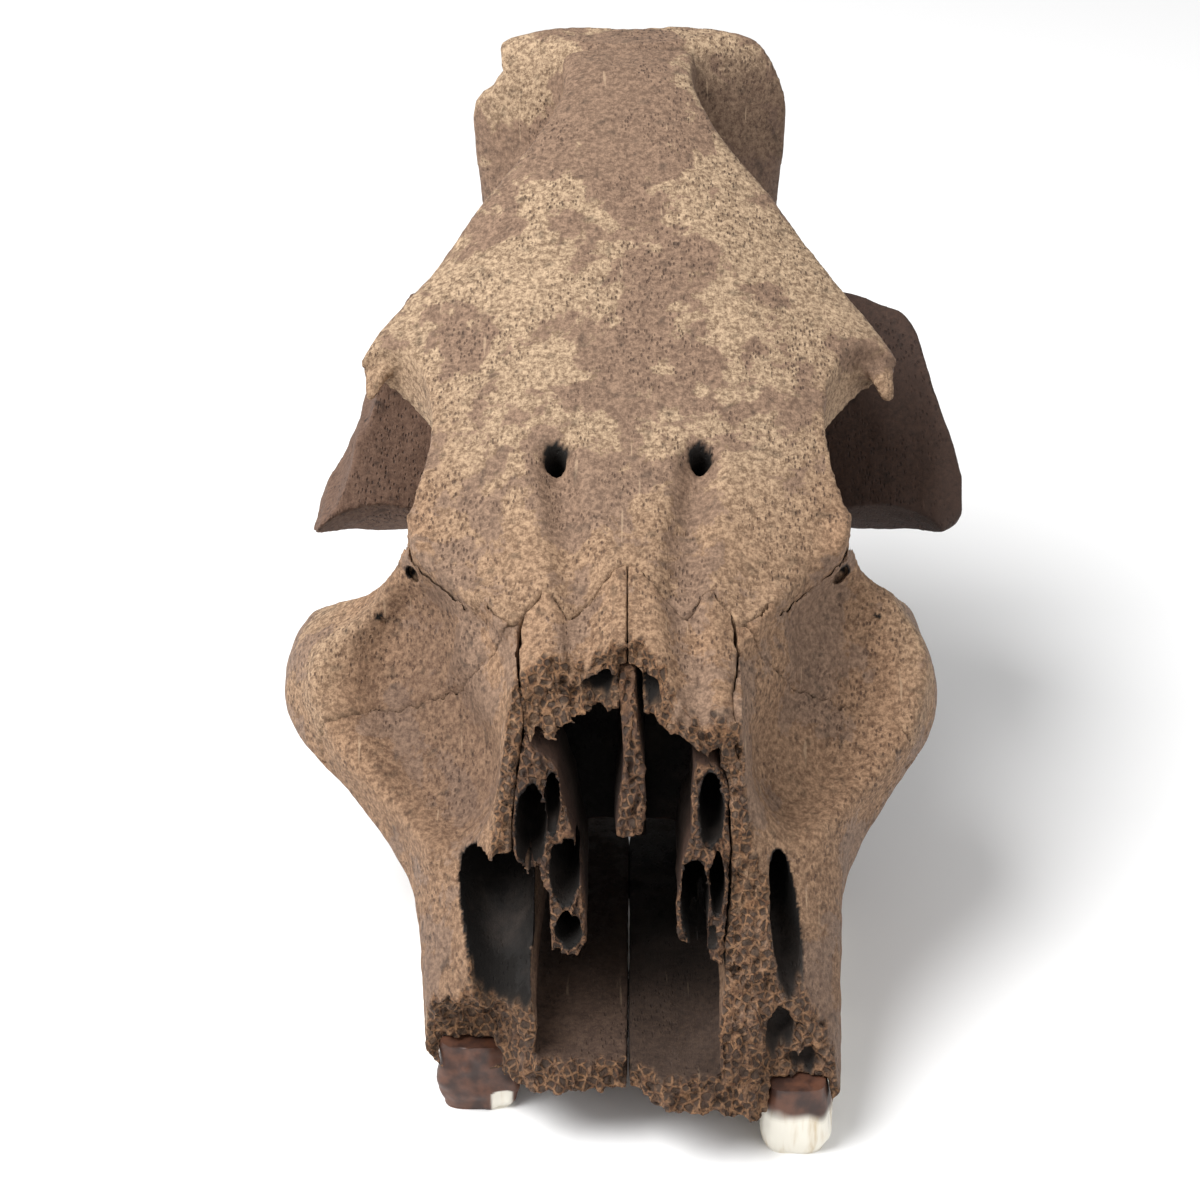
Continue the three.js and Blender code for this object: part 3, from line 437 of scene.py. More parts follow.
def tooth(kind, side, grow=0.0, fine=4):
    """Rings from the root down: x = cx + w/2 s cos a q, y = cy + l/2 sqrt(s) sin a q, where s is the
    level's scale, q squares the ring off and a waist between the lobes draws it in. Below, rings shrink to
    the middle, and the chewing face rises by up to 1.1 mm between its worn lobes."""
    name, cy, length, width, cx, lobes = kind
    levels = np.array([[GUM_HEIGHT + 4 + grow, 0.8], [GUM_HEIGHT - 1, 0.93], [8, 1], [3.4, 0.97], [0.9, 0.86],
                       [0, 0.78]])
    levels = spline(levels[:, None], fine)[:, 0]
    worn = np.linspace(0.95, 0.04, 3 * fine)
    scale = np.concatenate([levels[:, 1], 0.78 * worn])
    floor = np.concatenate([levels[:, 0], np.zeros(3 * fine)])
    angle = np.linspace(0, 2 * np.pi, 12 * fine, endpoint=False)
    square = (np.cos(angle) ** 4 + np.sin(angle) ** 4) ** -0.25
    waist = 1 - 0.07 * np.cos(2 * lobes * angle) * (lobes > 1)
    taper = 1 - 0.16 * np.sin(angle) * (lobes == 3)
    x = (width / 2 * scale[:, None] + grow) * np.cos(angle) * square * waist * taper
    y = (length / 2 * np.sqrt(scale)[:, None] + grow) * np.sin(angle) * square
    valleys = smooth_step(np.cos(2 * np.pi * lobes * (y / length + 0.5)), 0.2, 1)
    valleys *= smooth_step(-abs(x), -0.3 * width, 0)
    on_face = (np.arange(len(scale)) >= len(levels))[:, None]
    z = floor[:, None] + 1.1 * valleys * on_face
    return shell(name, np.stack([side * (cx + x), cy + y, z], -1))


def capsule(side, grow=0.0):
    """One ear capsule, a round body through its rings, each radius and both ends grown by a margin."""
    stations = np.array(EAR_CAPSULE, float) + np.array([0, 0, 0, grow, grow])
    stations[[0, -1], 2] += [-grow, grow]
    return round_body("tympanic", stations, side)


def row_of(side):
    """The teeth that one side still has."""
    return TOOTH_ROW if side > 0 else [WORN_MOLAR] + TOOTH_ROW[2:]


def rooms(side):
    """The shapes of one side's teeth, ear capsule and scroll, each grown by a seam's gap, to cut with."""
    outline = SCROLL_LEFT if side > 0 else SCROLL_RIGHT
    return [tooth(kind, side, SEAM) for kind in row_of(side)] + [
        capsule(side, SEAM), prism("scroll", outline, "y", *SCROLL_SPAN, SEAM)]


partition_room = prism("partition", PARTITION, "x", *PARTITION_SPAN, SEAM)
combine(skull, rooms(1) + rooms(-1) + [partition_room], "DIFFERENCE")

# The bones: thin plates of dry, weathered bone that meet in fine, wavy seams. Ten pieces are cut from the
# skull along the seams that show: across the root of the nose, along the edge of the forehead, over the
# cheeks and round the ears. The lines are drawn as [x, y] from above, and the ear's as [y, z] from the
# side.
WANDER = 0.55          # how far a seam wanders


def wavy(points, reach=WANDER):
    """A line through the points at steps of 0.9 mm, each moved sideways and along by smooth noise of its
    place."""
    line = []
    for start, end in zip(points[:-1], points[1:]):
        start, end = np.array(start, float), np.array(end, float)
        count = max(1, int(np.linalg.norm(end - start) / 0.9))
        line.append(start + (end - start) * np.linspace(0, 1, count, endpoint=False)[:, None])
    line = np.concatenate(line + [np.array([points[-1]], float)])
    place = np.column_stack([line, np.zeros(len(line))])
    moved = line + reach * np.stack([noise(place, 1.7, 11), noise(place, 1.7, 12)], 1)
    return np.concatenate([line[:1], moved[1:-1], line[-1:]]).tolist()


NOSE_SEAM = wavy([[0, 0.5], [6, -5], [12, -9], [17, -3], [21.2, -8]])
NOSE_EDGE = wavy([[24.5, -60], [22.6, -34], [20.6, -24], [22.4, -16], [21.2, -8]], reach=0.7)
RIDGE_LINE = wavy([[23, -7.5], [28, -1], [34, 4.5], [40.5, 10.5], [44.5, 15.5], [47, 22]], reach=0.3)
CHEEK_SEAM = wavy([[25.5, -7], [36, -4], [50, 1], [62, 5], [70, 7.6]]) + [[84, 12]]
RIM_POINT = [52, 30]
EAR_SEAM = wavy([[72, 62], [72, 80], [84, 94], [98, 108], [118, 115], [134, 110], [141, 96], [134, 76]])
EAR_SEAM += [[134, 52], [72, 52]]


def flipped(outline, side):
    """The outline of one side, turned over for the other."""
    return [[side * x, y] for x, y in outline]


def region(kind, margin):
    """The space that a bone, or a group of bones that have grown together, fills, grown by a margin."""
    side = -1 if kind.endswith("right") else 1
    if kind.startswith("nasal"):
        outline = [[SEAM / 2, -60]] + NOSE_EDGE + NOSE_SEAM[::-1][1:-1] + [[SEAM / 2, 0.5]]
        return prism(kind, flipped(outline, side), "z", 72, 120, margin)
    if kind.startswith("temporal"):
        return prism(kind, EAR_SEAM, "x", *sorted([24 * side, 84 * side]), margin)
    if kind.startswith("cheekbone"):
        outline = CHEEK_SEAM + [[84, 60], [50, 60], RIM_POINT] + RIDGE_LINE[::-1]
        return prism(kind, flipped(outline, side), "z", 50, 112, margin)
    if kind == "base":
        nose_end = prism("deep", [[8, 30], [8, 96], [60, 96], [60, 30]], "x", -15.5, 15.5, margin)
        wedge = prism("deep", [[-36, 34], [36, 34], [36, 150], [-36, 150]], "z", 10, 96, margin)
        return combine(nose_end, [wedge], "UNION")
    half = NOSE_SEAM + RIDGE_LINE + [RIM_POINT, [66, 50], [66, 80], [52, 98], [60, 104], [60, 180]]
    brow = prism(kind, half + flipped(half[1:][::-1], -1), "z", 74, 190, margin)
    nape = prism("nape", [[141, 180], [141, 120], [137, 104], [128, 86], [116, 72], [104, 54], [104, -8],
                          [190, -8], [190, 180]], "x", -60, 60, margin)
    return combine(brow, [nape], "UNION")


def carve(body, kind):
    """Takes one group of bones out of the body, with a seam's gap left round it."""
    piece = bpy.data.objects.new(kind, body.data.copy())
    bpy.context.scene.collection.objects.link(piece)
    combine(piece, [region(kind, 0)], "INTERSECT")
    combine(body, [region(kind, SEAM)], "DIFFERENCE")
    return piece


def points_of(made):
    """The mesh's points, one row of x, y, z each."""
    flat = np.empty(len(made.data.vertices) * 3)
    made.data.vertices.foreach_get("co", flat)
    return flat.reshape(-1, 3)


def normals_of(made):
    """The outward direction at each point of the mesh."""
    flat = np.empty(len(made.data.vertices) * 3)
    made.data.vertex_normals.foreach_get("vector", flat)
    return flat.reshape(-1, 3)


def place(made, points):
    """Moves the mesh's points."""
    made.data.vertices.foreach_set("co", points.ravel())
    made.data.update()


def remeshed(made, size):
    """A new even skin of small squares over the mesh."""
    step = made.modifiers.new("skin", "REMESH")
    step.mode = "VOXEL"
    step.voxel_size = size
    return settle(made)


def largest_only(made):
    """Keeps the mesh's largest connected part: each point takes the lowest number among its neighbours
    until none changes, and the commonest number is kept."""
    ends = np.empty(len(made.data.edges) * 2, int)
    made.data.edges.foreach_get("vertices", ends)
    a, b = ends.reshape(-1, 2).T
    label = np.arange(len(made.data.vertices))
    while True:
        before = label.copy()
        low = np.minimum(label[a], label[b])
        np.minimum.at(label, a, low)
        np.minimum.at(label, b, low)
        label = label[label]
        if (label == before).all():
            break
    keep = np.bincount(label).argmax()
    work = bmesh.new()
    work.from_mesh(made.data)
    work.verts.ensure_lookup_table()
    drop = [work.verts[k] for k in np.flatnonzero(label != keep)]
    bmesh.ops.delete(work, geom=drop, context="VERTS")
    work.to_mesh(made.data)
    work.free()
    return made


def soften(made, rounds):
    """Each round moves a point half way to the mean of its neighbours, then back by a little more than
    that, so that the mesh smooths without shrinking."""
    points = points_of(made)
    ends = np.empty(len(made.data.edges) * 2, int)
    made.data.edges.foreach_get("vertices", ends)
    a, b = ends.reshape(-1, 2).T
    count = np.bincount(a, minlength=len(points)) + np.bincount(b, minlength=len(points))
    for _ in range(rounds):
        for share in (0.5, -0.52):
            total = np.stack([np.bincount(a, points[b, k], len(points))
                              + np.bincount(b, points[a, k], len(points)) for k in range(3)], 1)
            points += share * (total / count[:, None] - points)
    place(made, points)


# Forms of the face and forehead: a line along the surface on the animal's left and one on its right, how
# far the form reaches from it, how steep its sides are, and which way and how far it moves the bone on the
# left.
FORMS = [
    # the gutters that run down from the holes of the brow
    [[[15, 27, 112], [14.4, 22, 111], [12.8, 11, 106], [10.6, -5, 98.6], [12.4, -18, 92], [14, -34, 86]],
     [[-15, 27, 112], [-14.4, 22, 111], [-12.3, 9, 105], [-10, -5, 98.7], [-9.4, -15, 94], [-10, -34, 87]],
     4.1, 3, [0, 0.6, -3.2]],
    # the ledge where the forehead overhangs the cheek
    [[[44.8, 18.5, 100], [43.5, 14.5, 95], [39, 9, 92.5], [31.3, 2, 92.3], [26.3, -6, 90]],
     [[-44, 16, 97], [-39, 10.3, 94], [-34, 5.6, 92.8], [-28, -1.2, 93], [-25, -6, 91.7]],
     3.4, 2, [0.6, -2.4, 1.6]],
    # the cheek's hollow
    [[[44.5, 8, 83], [45.5, 1.7, 73.3], [40, -8, 67], [34, -18, 64.5]],
     [[-47, 7, 80], [-47, 2.5, 72.6], [-40, -10.5, 65], [-34, -20, 63]],
     12.5, 5, [-2, 5.2, -4]],
    # the cheek's outer rim with the crest below it
    [[[58, 24, 79.5], [63.5, 17, 70], [59, 4, 58], [50, -9, 53.5], [38, -23, 54]],
     [[-55, 18, 84.8], [-66, 14, 73.5], [-66, 9, 65], [-61, 1, 57], [-51, -11, 51.5], [-40, -26, 50]],
     4.6, 2, [0.9, -3, 2.2]],
    # the ridge along the nose
    [[[0, 1, 101], [0, -16, 94.5], [0, -30, 89]], [[0, 1, 101], [0, -16, 94.5], [0, -30, 89]],
     5, 2, [0, 0, 1]],
    # the two hollows of the nape for the neck's muscles
    [[[18, 164, 143], [18, 159, 122], [16, 154, 98]], [[-18, 164, 143], [-18, 159, 122], [-16, 154, 98]],
     12, 3, [0, -4.5, 0]],
    # the line between those two
    [[[0, 163, 150], [0, 157, 118], [0, 151.5, 82]], [[0, 163, 150], [0, 157, 118], [0, 151.5, 82]],
     3.6, 2, [0, 1.6, 0]],
]


def near_line(points, line):
    """Distance from each point to the nearest of the line's straight stretches."""
    nearest = np.full(len(points), 999.0)
    line = np.array(line, float)
    for start, end in zip(line[:-1], line[1:]):
        along = end - start
        share = np.clip((points - start) @ along / (along @ along), 0, 1)
        nearest = np.minimum(nearest, np.linalg.norm(points - start - share[:, None] * along, axis=1))
    return nearest


def closeness(distance, reach):
    """exp(-(distance / reach)^2): 1 close by and near 0 at twice the reach."""
    return np.exp(-((distance / reach) ** 2))


def model_forms(made):
    """Moves each point by every form's push times exp(-(distance / reach)^steepness), with x turned round
    on the right."""
    points = points_of(made)
    moved = points.copy()
    for left, right, reach, steepness, push in FORMS:
        for line, side, half in ((left, 1, points[:, 0] >= 0), (right, -1, points[:, 0] < 0)):
            share = np.exp(-(near_line(points, line) / reach) ** steepness) * half
            moved += share[:, None] * push * np.array([side, 1, 1])
    place(made, moved)


def keep_values(made, name, values):
    """Stores one number for each point, for the material to read, in place of any that it had."""
    layer = made.data.attributes.get(name) or made.data.attributes.new(name, "FLOAT", "POINT")
    layer.data.foreach_set("value", values.astype(np.float32))


def cells(points, size, seed):
    """Distance, in cell sizes, from each point to the nearest of the seeds that lie one in each cell."""
    place = points / size
    cell = np.floor(place)
    nearest = np.full(len(points), 9.0)
    for corner in np.ndindex(3, 3, 3):
        home = cell + np.array(corner) - 1
        spot = home + np.stack([lattice(home, seed + k) for k in (0, 7, 13)], 1)
        nearest = np.minimum(nearest, np.linalg.norm(spot - place, axis=1))
    return nearest


def carve_detail(made, rough=1.0):
    """Moves the skin along its normals by noise: broad waves of 0.3 mm, a fine grain, and on the broken faces
    crumbs and round pits up to 1.5 mm deep where the distance to the nearest cell seed is small."""
    points, normals = points_of(made), normals_of(made)
    broken = np.exp(-((points[:, 1] - break_depth(points[:, 0], points[:, 2])) / 0.9) ** 2)
    waves = 0.26 * noise(points, 11, 21) + 0.16 * noise(points, 4.3, 22) + 0.08 * noise(points, 1.9, 23)
    fibres = 0.07 * noise(points * [1, 0.3, 0.3], 1.3, 24)
    uneven = 0.5 + 0.5 * noise(points, 3.7, 33)
    spongy = 1 - smooth_step(cells(points + 0.6 * noise(points, 2.2, 34)[:, None], 1.7, 31), 0.12, 0.62)
    pits = spongy * uneven * broken
    crumbs = (0.4 * noise(points, 1.1, 32) + 0.5 * noise(points, 2.6, 35)) * broken
    points += normals * (rough * (waves + fibres) - 1.5 * pits + crumbs)[:, None]
    points[:, 2] = np.maximum(points[:, 2], 0)
    place(made, points)
    # painted shade in the carved pits, together with random dark speckle
    keep_values(made, "pit", np.maximum(pits, smooth_step(-noise(points, 1.4, 51), 0.45, 0.8) * 0.5))


# The sockets' upper rim, along which the bone is tinted orange as the face is.
ORBIT_RIM = [[58, 62, 112], [47, 50, 113], [43, 40, 110], [43.5, 26, 104], [47, 18, 97], [58, 27, 82]]


def in_tube(points, normals, stations, grow, along=1):
    """1 on the walls of a hollow whose rings face along y or lie level in z, and 0 elsewhere. A point is on
    a wall where its rings are round it, grown a little, and its normal doesn't look away from their
    middle."""
    table = np.array(stations, float)
    table = table[np.argsort(table[:, along])]
    where = points[:, along]
    other = 3 - along
    middle_x, middle, radius_x, radius = (np.interp(where, table[:, along], table[:, k])
                                          for k in (0, other, 3, 4))
    across, up = middle_x - points[:, 0], middle - points[:, other]
    distance = (across / radius_x) ** 2 + (up / radius) ** 2
    inside = (where > table[0, along] - 1) & (where < table[-1, along] + 1)
    inward = normals[:, 0] * across + normals[:, other] * up
    faces = inward > -0.35 * np.hypot(across, up)
    return ((distance < grow**2) & inside & faces).astype(float)


def paint(made, stain=0.0, tint=0.0):
    """Stores how far each point is stained brown, tinted orange as the face is, darkened by painted shade,
    broken open, or inside a hollow, which painted shade darkens. Stains follow the crest's middle line and grow
    with smooth noise; the gutters are browned by painted shade, and a painted highlight lightens the cheeks'
    outer rims."""
    points, normals = points_of(made), normals_of(made)
    x, y, z = points.T
    cloud = 0.55 * noise(points, 19, 41) + 0.3 * noise(points, 7, 42) + 0.15 * noise(points, 3, 43)
    middle = closeness(x - 2 + 4 * noise(points, 23, 44), 17) * smooth_step(y, 14, 55)
    # painted shade: the brown stain is made stronger along the gutters of the brow
    gutters = sum(closeness(near_line(points, line), 4) for line in FORMS[0][:2])
    hollow_cheek = sum(np.exp(-(near_line(points, line) / 14) ** 4) for line in FORMS[2][:2])
    # painted highlight: the cheeks' outer rims are kept less stained and less orange, so lighter
    rim_highlight = sum(closeness(near_line(points, line), 6) for line in FORMS[3][:2])
    flank = smooth_step(y, 58, 74) * smooth_step(-normals[:, 2], -0.72, -0.3) * smooth_step(z, 30, 50)
    rear = smooth_step(normals[:, 1], 0.2, 0.8) * smooth_step(y, 120, 140)
    palate = (z < 33) * (abs(x) < 27) * smooth_step(-z, -31, -22) * (y < 60)
    rims = closeness(near_line(abs(points), ORBIT_RIM), 9)
    brown = np.clip(0.3 + stain + 0.42 * middle + 0.4 * gutters + 0.4 * cloud - 0.3 * rim_highlight, 0, 1)
    face = 0.7 * smooth_step(-y, -6, 24) * smooth_step(-z, -96, -74)
    face += 0.75 * smooth_step(-y, -38, -4) + 0.6 * rims
    face = np.clip(tint + face + 0.3 * hollow_cheek - 0.5 * rim_highlight, 0, 1)
    # painted shade: the temples' flanks (far more on the left, the side turned from the lamp), the faces turned
    # to the back, the cheeks' hollows (more on the right), the lower parts and the palate are darkened
    deep = (0.1 + 0.7 * (x > 0)) * flank + 0.5 * rear + (0.62 - 0.4 * (x > 0)) * hollow_cheek
    deep += 0.4 * smooth_step(-z, -60, -20)
    deep = np.clip(deep + palate, 0, 1)
    broken = closeness(y - break_depth(x, z), 1.2) * (y < 0)
    tubes = [(NASAL_CAVITY, 1.08), (THROAT, 1.1), (SPINAL_HOLE, 1.1), (RIGHT_CANAL, 1.06), (LEFT_CANAL, 1.1)]
    tubes += [(tube, 1.12) for tube in ROOF_CELLS + LEFT_SOCKETS]
    # painted shade: the walls of the nose, throat, spinal hole, canals, cells and holes are painted nearly black
    hollow = np.maximum.reduce([in_tube(points, normals, tube, grow) for tube, grow in tubes])
    for side in (1, -1):
        turned = points * [side, 1, 1], normals * [side, 1, 1]
        for hole, along in [(BROW_HOLE, 2)] + [(hole, 1) for hole in TEAR_HOLES]:
            hollow = np.maximum(hollow, in_tube(*turned, hole, 1.15, along))
    # painted shade on the palate's upward faces, darker on the left and towards the back
    floor = palate * smooth_step(normals[:, 2], 0.2, 0.6)
    shade = 0.45 + 0.2 * (x > 0) + 0.35 * smooth_step(y, -50, -8)
    hollow = hollow * (1 - floor) + floor * shade
    hollow *= 1 - 0.85 * broken
    masks = {"stain": brown, "tint": face, "deep": deep, "broken": broken, "hollow": hollow}
    for name, values in masks.items():
        keep_values(made, name, values)


MM = 0.001
SHARP = 40.0          # an edge between faces that meet at more degrees than this stays sharp
MOLAR_PLACE = [33.6, -22.0]          # middle of the left second molar seen from above
low, high = (np.array(corner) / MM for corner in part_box("molar_2_left"))
FRAME_SHIFT = np.array([*(MOLAR_PLACE - (low + high)[:2] / 2), 0.0])


def finish(made, bodies, material):
    """Moves a piece from the skull's millimetres into the frame, shades it, gives it its material, hangs it
    under the root body and hides the model's parts that it stands for."""
    place(made, (points_of(made) - FRAME_SHIFT) * MM)
    made.data.shade_smooth()
    made.data.set_sharp_from_angle(angle=np.radians(SHARP))
    made.data.materials.clear()
    made.data.materials.append(material)
    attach(made, "root")
    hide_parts(*bodies)


def linear(red, green, blue):
    """A colour given in screen values from 0 to 255, as the light it stands for."""
    screen = np.array([red, green, blue]) / 255
    light = np.where(screen <= 0.04045, screen / 12.92, ((screen + 0.055) / 1.055) ** 2.4)
    return (*light.tolist(), 1)


def wire(tree, kind, inputs=(), **settings):
    """A new node with its settings made and its inputs set: each is (socket, value or another node's
    output)."""
    node = tree.nodes.new(kind)
    for name, value in settings.items():
        setattr(node, name, value)
    for socket, value in inputs:
        if isinstance(value, bpy.types.NodeSocket):
            tree.links.new(value, node.inputs[socket])
        else:
            node.inputs[socket].default_value = value
    return node


def blended(tree, share, first, second):
    """Colour first where share is 0 and second where it is 1."""
    return wire(tree, "ShaderNodeMix", [(0, share), (6, first), (7, second)], data_type="RGBA").outputs[2]


def stretched(tree, value, low, high):
    """A value's range from low to high, stretched to run from 0 to 1."""
    node = wire(tree, "ShaderNodeMapRange", [(0, value), (1, low), (2, high)],
                interpolation_type="SMOOTHSTEP")
    return node.outputs[0]


def scaled(tree, value, factor, base=0.0):
    """value * factor + base, each a number or another node's output."""
    node = wire(tree, "ShaderNodeMath", [(0, value), (1, factor), (2, base)], operation="MULTIPLY_ADD")
    return node.outputs[0]


def cloudy(tree, vector, scale, detail, roughness=0.5, distortion=0.0):
    """A noise texture's value."""
    node = wire(tree, "ShaderNodeTexNoise", [("Vector", vector), ("Scale", scale), ("Detail", detail),
                                             ("Roughness", roughness), ("Distortion", distortion)])
    return node.outputs["Fac"]


def mapped(tree, vector, stretch, turn=(0.0, 0.0, 0.0)):
    """Coordinates turned and stretched along each axis."""
    node = wire(tree, "ShaderNodeMapping", [("Vector", vector), ("Rotation", turn), ("Scale", stretch)])
    return node.outputs[0]


def bone_grain():
    """Masks of dry bone's fine surface: pores, long fibres, scratches, cloudy mottling, fine grain and, for
    broken faces, a honeycomb of open cells."""
    tree = bpy.data.node_groups.new("Bone grain", "ShaderNodeTree")
    tree.interface.new_socket("Vector", in_out="INPUT", socket_type="NodeSocketVector")
    for label in ("Pores", "Fibres", "Scratches", "Cloud", "Fine", "Honeycomb"):
        tree.interface.new_socket(label, in_out="OUTPUT", socket_type="NodeSocketFloat")
    vector = tree.nodes.new("NodeGroupInput").outputs["Vector"]
    flow = mapped(tree, vector, (1, 0.42, 0.6), (0.0, 0.0, 0.25))
    pores = wire(tree, "ShaderNodeTexVoronoi", [("Vector", flow), ("Scale", 1150.0), ("Randomness", 1.0)])
    comb = wire(tree, "ShaderNodeTexVoronoi", [("Vector", vector), ("Scale", 560.0), ("Randomness", 1.0)],
                feature="DISTANCE_TO_EDGE")
    where = stretched(tree, cloudy(tree, vector, 70.0, 4.0), 0.38, 0.6)
    turned = mapped(tree, vector, (1.0, 0.09, 0.09), (0.3, 0.5, 0.7))
    masks = {
        "Pores": scaled(tree, stretched(tree, pores.outputs["Distance"], 0.33, 0.16), where),
        "Fibres": cloudy(tree, mapped(tree, vector, (1.0, 0.16, 0.16)), 1100.0, 5.0, 0.65),
        "Scratches": stretched(tree, cloudy(tree, turned, 700.0, 2.0), 0.7, 0.76),
        "Cloud": cloudy(tree, vector, 55.0, 12.0, 0.68, 0.3),
        "Fine": cloudy(tree, vector, 820.0, 8.0, 0.82),
        "Honeycomb": stretched(tree, comb.outputs["Distance"], 0.07, 0.22),
    }
    made = tree.nodes.new("NodeGroupOutput").inputs
    for label, value in masks.items():
        tree.links.new(value, made[label])
    return tree


def bone_material(name, light, pale, brown, orange, deep, broken, shade_colours, rough, soft_rough):
    """Dry bone: a speckled ground between two colours. The mesh's own masks tint it orange, stain it brown in
    ragged patches, darken it with painted shade, lay its cells open where it is broken with painted shade in the
    cells, and make it nearly black with painted shade and a little dust in hollows and pits."""
    material = bpy.data.materials.new(name)
    material.use_nodes = True
    tree = material.node_tree
    shader = tree.nodes["Principled BSDF"]
    vector = wire(tree, "ShaderNodeTexCoord").outputs["Object"]
    grain = wire(tree, "ShaderNodeGroup", [("Vector", vector)], node_tree=GRAIN).outputs
    masks = {key: wire(tree, "ShaderNodeAttribute", attribute_name=key).outputs["Fac"]
             for key in ("stain", "tint", "deep", "broken", "hollow", "pit")}
    speckle = stretched(tree, grain["Fine"], 0.38, 0.64)
    ragged_edge = scaled(tree, grain["Fine"], 0.35, scaled(tree, grain["Cloud"], 2.2, -1.1))
    stained = stretched(tree, scaled(tree, masks["stain"], 1.0, ragged_edge), 0.53, 0.6)
    # broken faces, with painted shade nearly black in their open cells
    broken_with_cell_shade = blended(tree, scaled(tree, grain["Honeycomb"], 0.84), blended(tree, speckle, *broken), shade_colours[1])
    layers = [
        (masks["tint"], blended(tree, speckle, *orange)),
        (stained, blended(tree, speckle, *brown)),
        # the deep mask and its colours are painted shade
        (masks["deep"], blended(tree, speckle, *deep)),
        (scaled(tree, stretched(tree, grain["Fibres"], 0.52, 0.72), 0.4), brown[0]),
        (scaled(tree, grain["Scratches"], 0.35), pale),
        (masks["broken"], broken_with_cell_shade),
        (scaled(tree, grain["Pores"], 0.75), deep[0]),
        (scaled(tree, masks["pit"], 0.85), shade_colours[0]),
        # painted shade in hollows, mottled with dust
        (masks["hollow"], blended(tree, stretched(tree, grain["Cloud"], 0.45, 0.7), *shade_colours)),
    ]
    colour = blended(tree, speckle, light, pale)
    for share, over in layers:
        colour = blended(tree, share, colour, over)
    tree.links.new(colour, shader.inputs["Base Color"])
    roughness = wire(tree, "ShaderNodeMapRange", [(0, stained), (3, rough), (4, soft_rough)])
    tree.links.new(roughness.outputs[0], shader.inputs["Roughness"])
    shader.inputs["Specular IOR Level"].default_value = 0.3
    height = scaled(tree, grain["Fine"], 0.9, scaled(tree, grain["Fibres"], 0.6))
    height = scaled(tree, grain["Pores"], -1.0, height)
    height = scaled(tree, scaled(tree, grain["Honeycomb"], masks["broken"]), -1.6, height)
    bump = wire(tree, "ShaderNodeBump", [("Height", height), ("Strength", 0.8), ("Distance", 0.0004)])
    tree.links.new(bump.outputs[0], shader.inputs["Normal"])
    return material


GRAIN = bone_grain()
# The colours are screen values. Pairs are the two ends between which fine speckle runs.
# the painted shade of hollows, pits and open cells: nearly black, dusty at the lighter end
HOLLOW_SHADE_COLOURS = (linear(18, 14, 11), linear(46, 38, 33))
BONE = bone_material(
    "weathered_bone", light=linear(112, 90, 70), pale=linear(196, 169, 139),
    brown=(linear(98, 76, 61), linear(152, 124, 102)), orange=(linear(102, 76, 57), linear(170, 137, 108)),
    deep=(linear(76, 56, 46), linear(112, 88, 72)), broken=(linear(84, 56, 38), linear(146, 110, 79)),
    shade_colours=HOLLOW_SHADE_COLOURS, rough=0.85, soft_rough=0.66)
# painted shade: a darker copy of the bone for the temporals, base, nose plates and ear capsules, which lie
# under, behind and inside the skull
DARK_BONE = bone_material(
    "darker_shaded_bone", light=linear(86, 64, 52), pale=linear(120, 94, 78),
    brown=(linear(74, 54, 44), linear(54, 39, 32)), orange=(linear(84, 60, 46), linear(108, 80, 60)),
    deep=(linear(50, 37, 32), linear(74, 56, 48)), broken=(linear(82, 55, 39), linear(136, 102, 74)),
    shade_colours=HOLLOW_SHADE_COLOURS, rough=0.8, soft_rough=0.66)
# Each piece: the size of detail it keeps, the bones it stands for, its slot, its material, its stain and
# its tint.
PIECES = {
    "nasal_left": (0.5, ["nasal_left"], "bone", BONE, 0, 0.15),
    "nasal_right": (0.5, ["nasal_right"], "bone", BONE, 0, 0.15),
    # painted shade and painted light: the left temporal, turned from the lamp, is stained darker and the right
    # one lighter
    "temporal_left": (0.7, ["temporal_left"], "dark_bone", DARK_BONE, 0.4, 0),
    "temporal_right": (0.7, ["temporal_right"], "dark_bone", DARK_BONE, -0.2, 0),
    "roof": (0.97, ["frontal", "parietal", "occipital"], "bone", BONE, 0, 0),
    "cheekbone_left": (0.6, ["zygomatic_left", "lacrimal_left"], "bone", BONE, 0.1, 0.3),
    "cheekbone_right": (0.6, ["zygomatic_right", "lacrimal_right"], "bone", BONE, 0.1, 0.3),
    "base": (0.8, ["sphenoid", "ethmoid"], "dark_bone", DARK_BONE, 0.3, 0),
    "maxilla_left": (0.64, ["maxilla_left", "palatine_left"], "bone", BONE, 0.1, 0.5),
    "maxilla_right": (0.64, ["maxilla_right", "palatine_right"], "bone", BONE, 0.1, 0.5),
}
for name, (size, stands_for, finish_slot, material, stain, tint) in PIECES.items():
    if name.startswith("maxilla"):
        side_view = [[-140, -20], [200, -20], [200, 200], [-140, 200]]
        reach = [SEAM / 2, 120] if name.endswith("left") else [-120, -SEAM / 2]
        bone = bpy.data.objects.new(name, skull.data.copy())
        bpy.context.scene.collection.objects.link(bone)
        combine(bone, [prism("half", side_view, "x", *reach)], "INTERSECT")
    else:
        bone = carve(skull, name)
    remeshed(bone, size)
    largest_only(bone)
    soften(bone, 3)
    model_forms(bone)
    carve_detail(bone)
    paint(bone, stain, tint)
    finish(bone, stands_for, material)
bpy.data.objects.remove(skull)

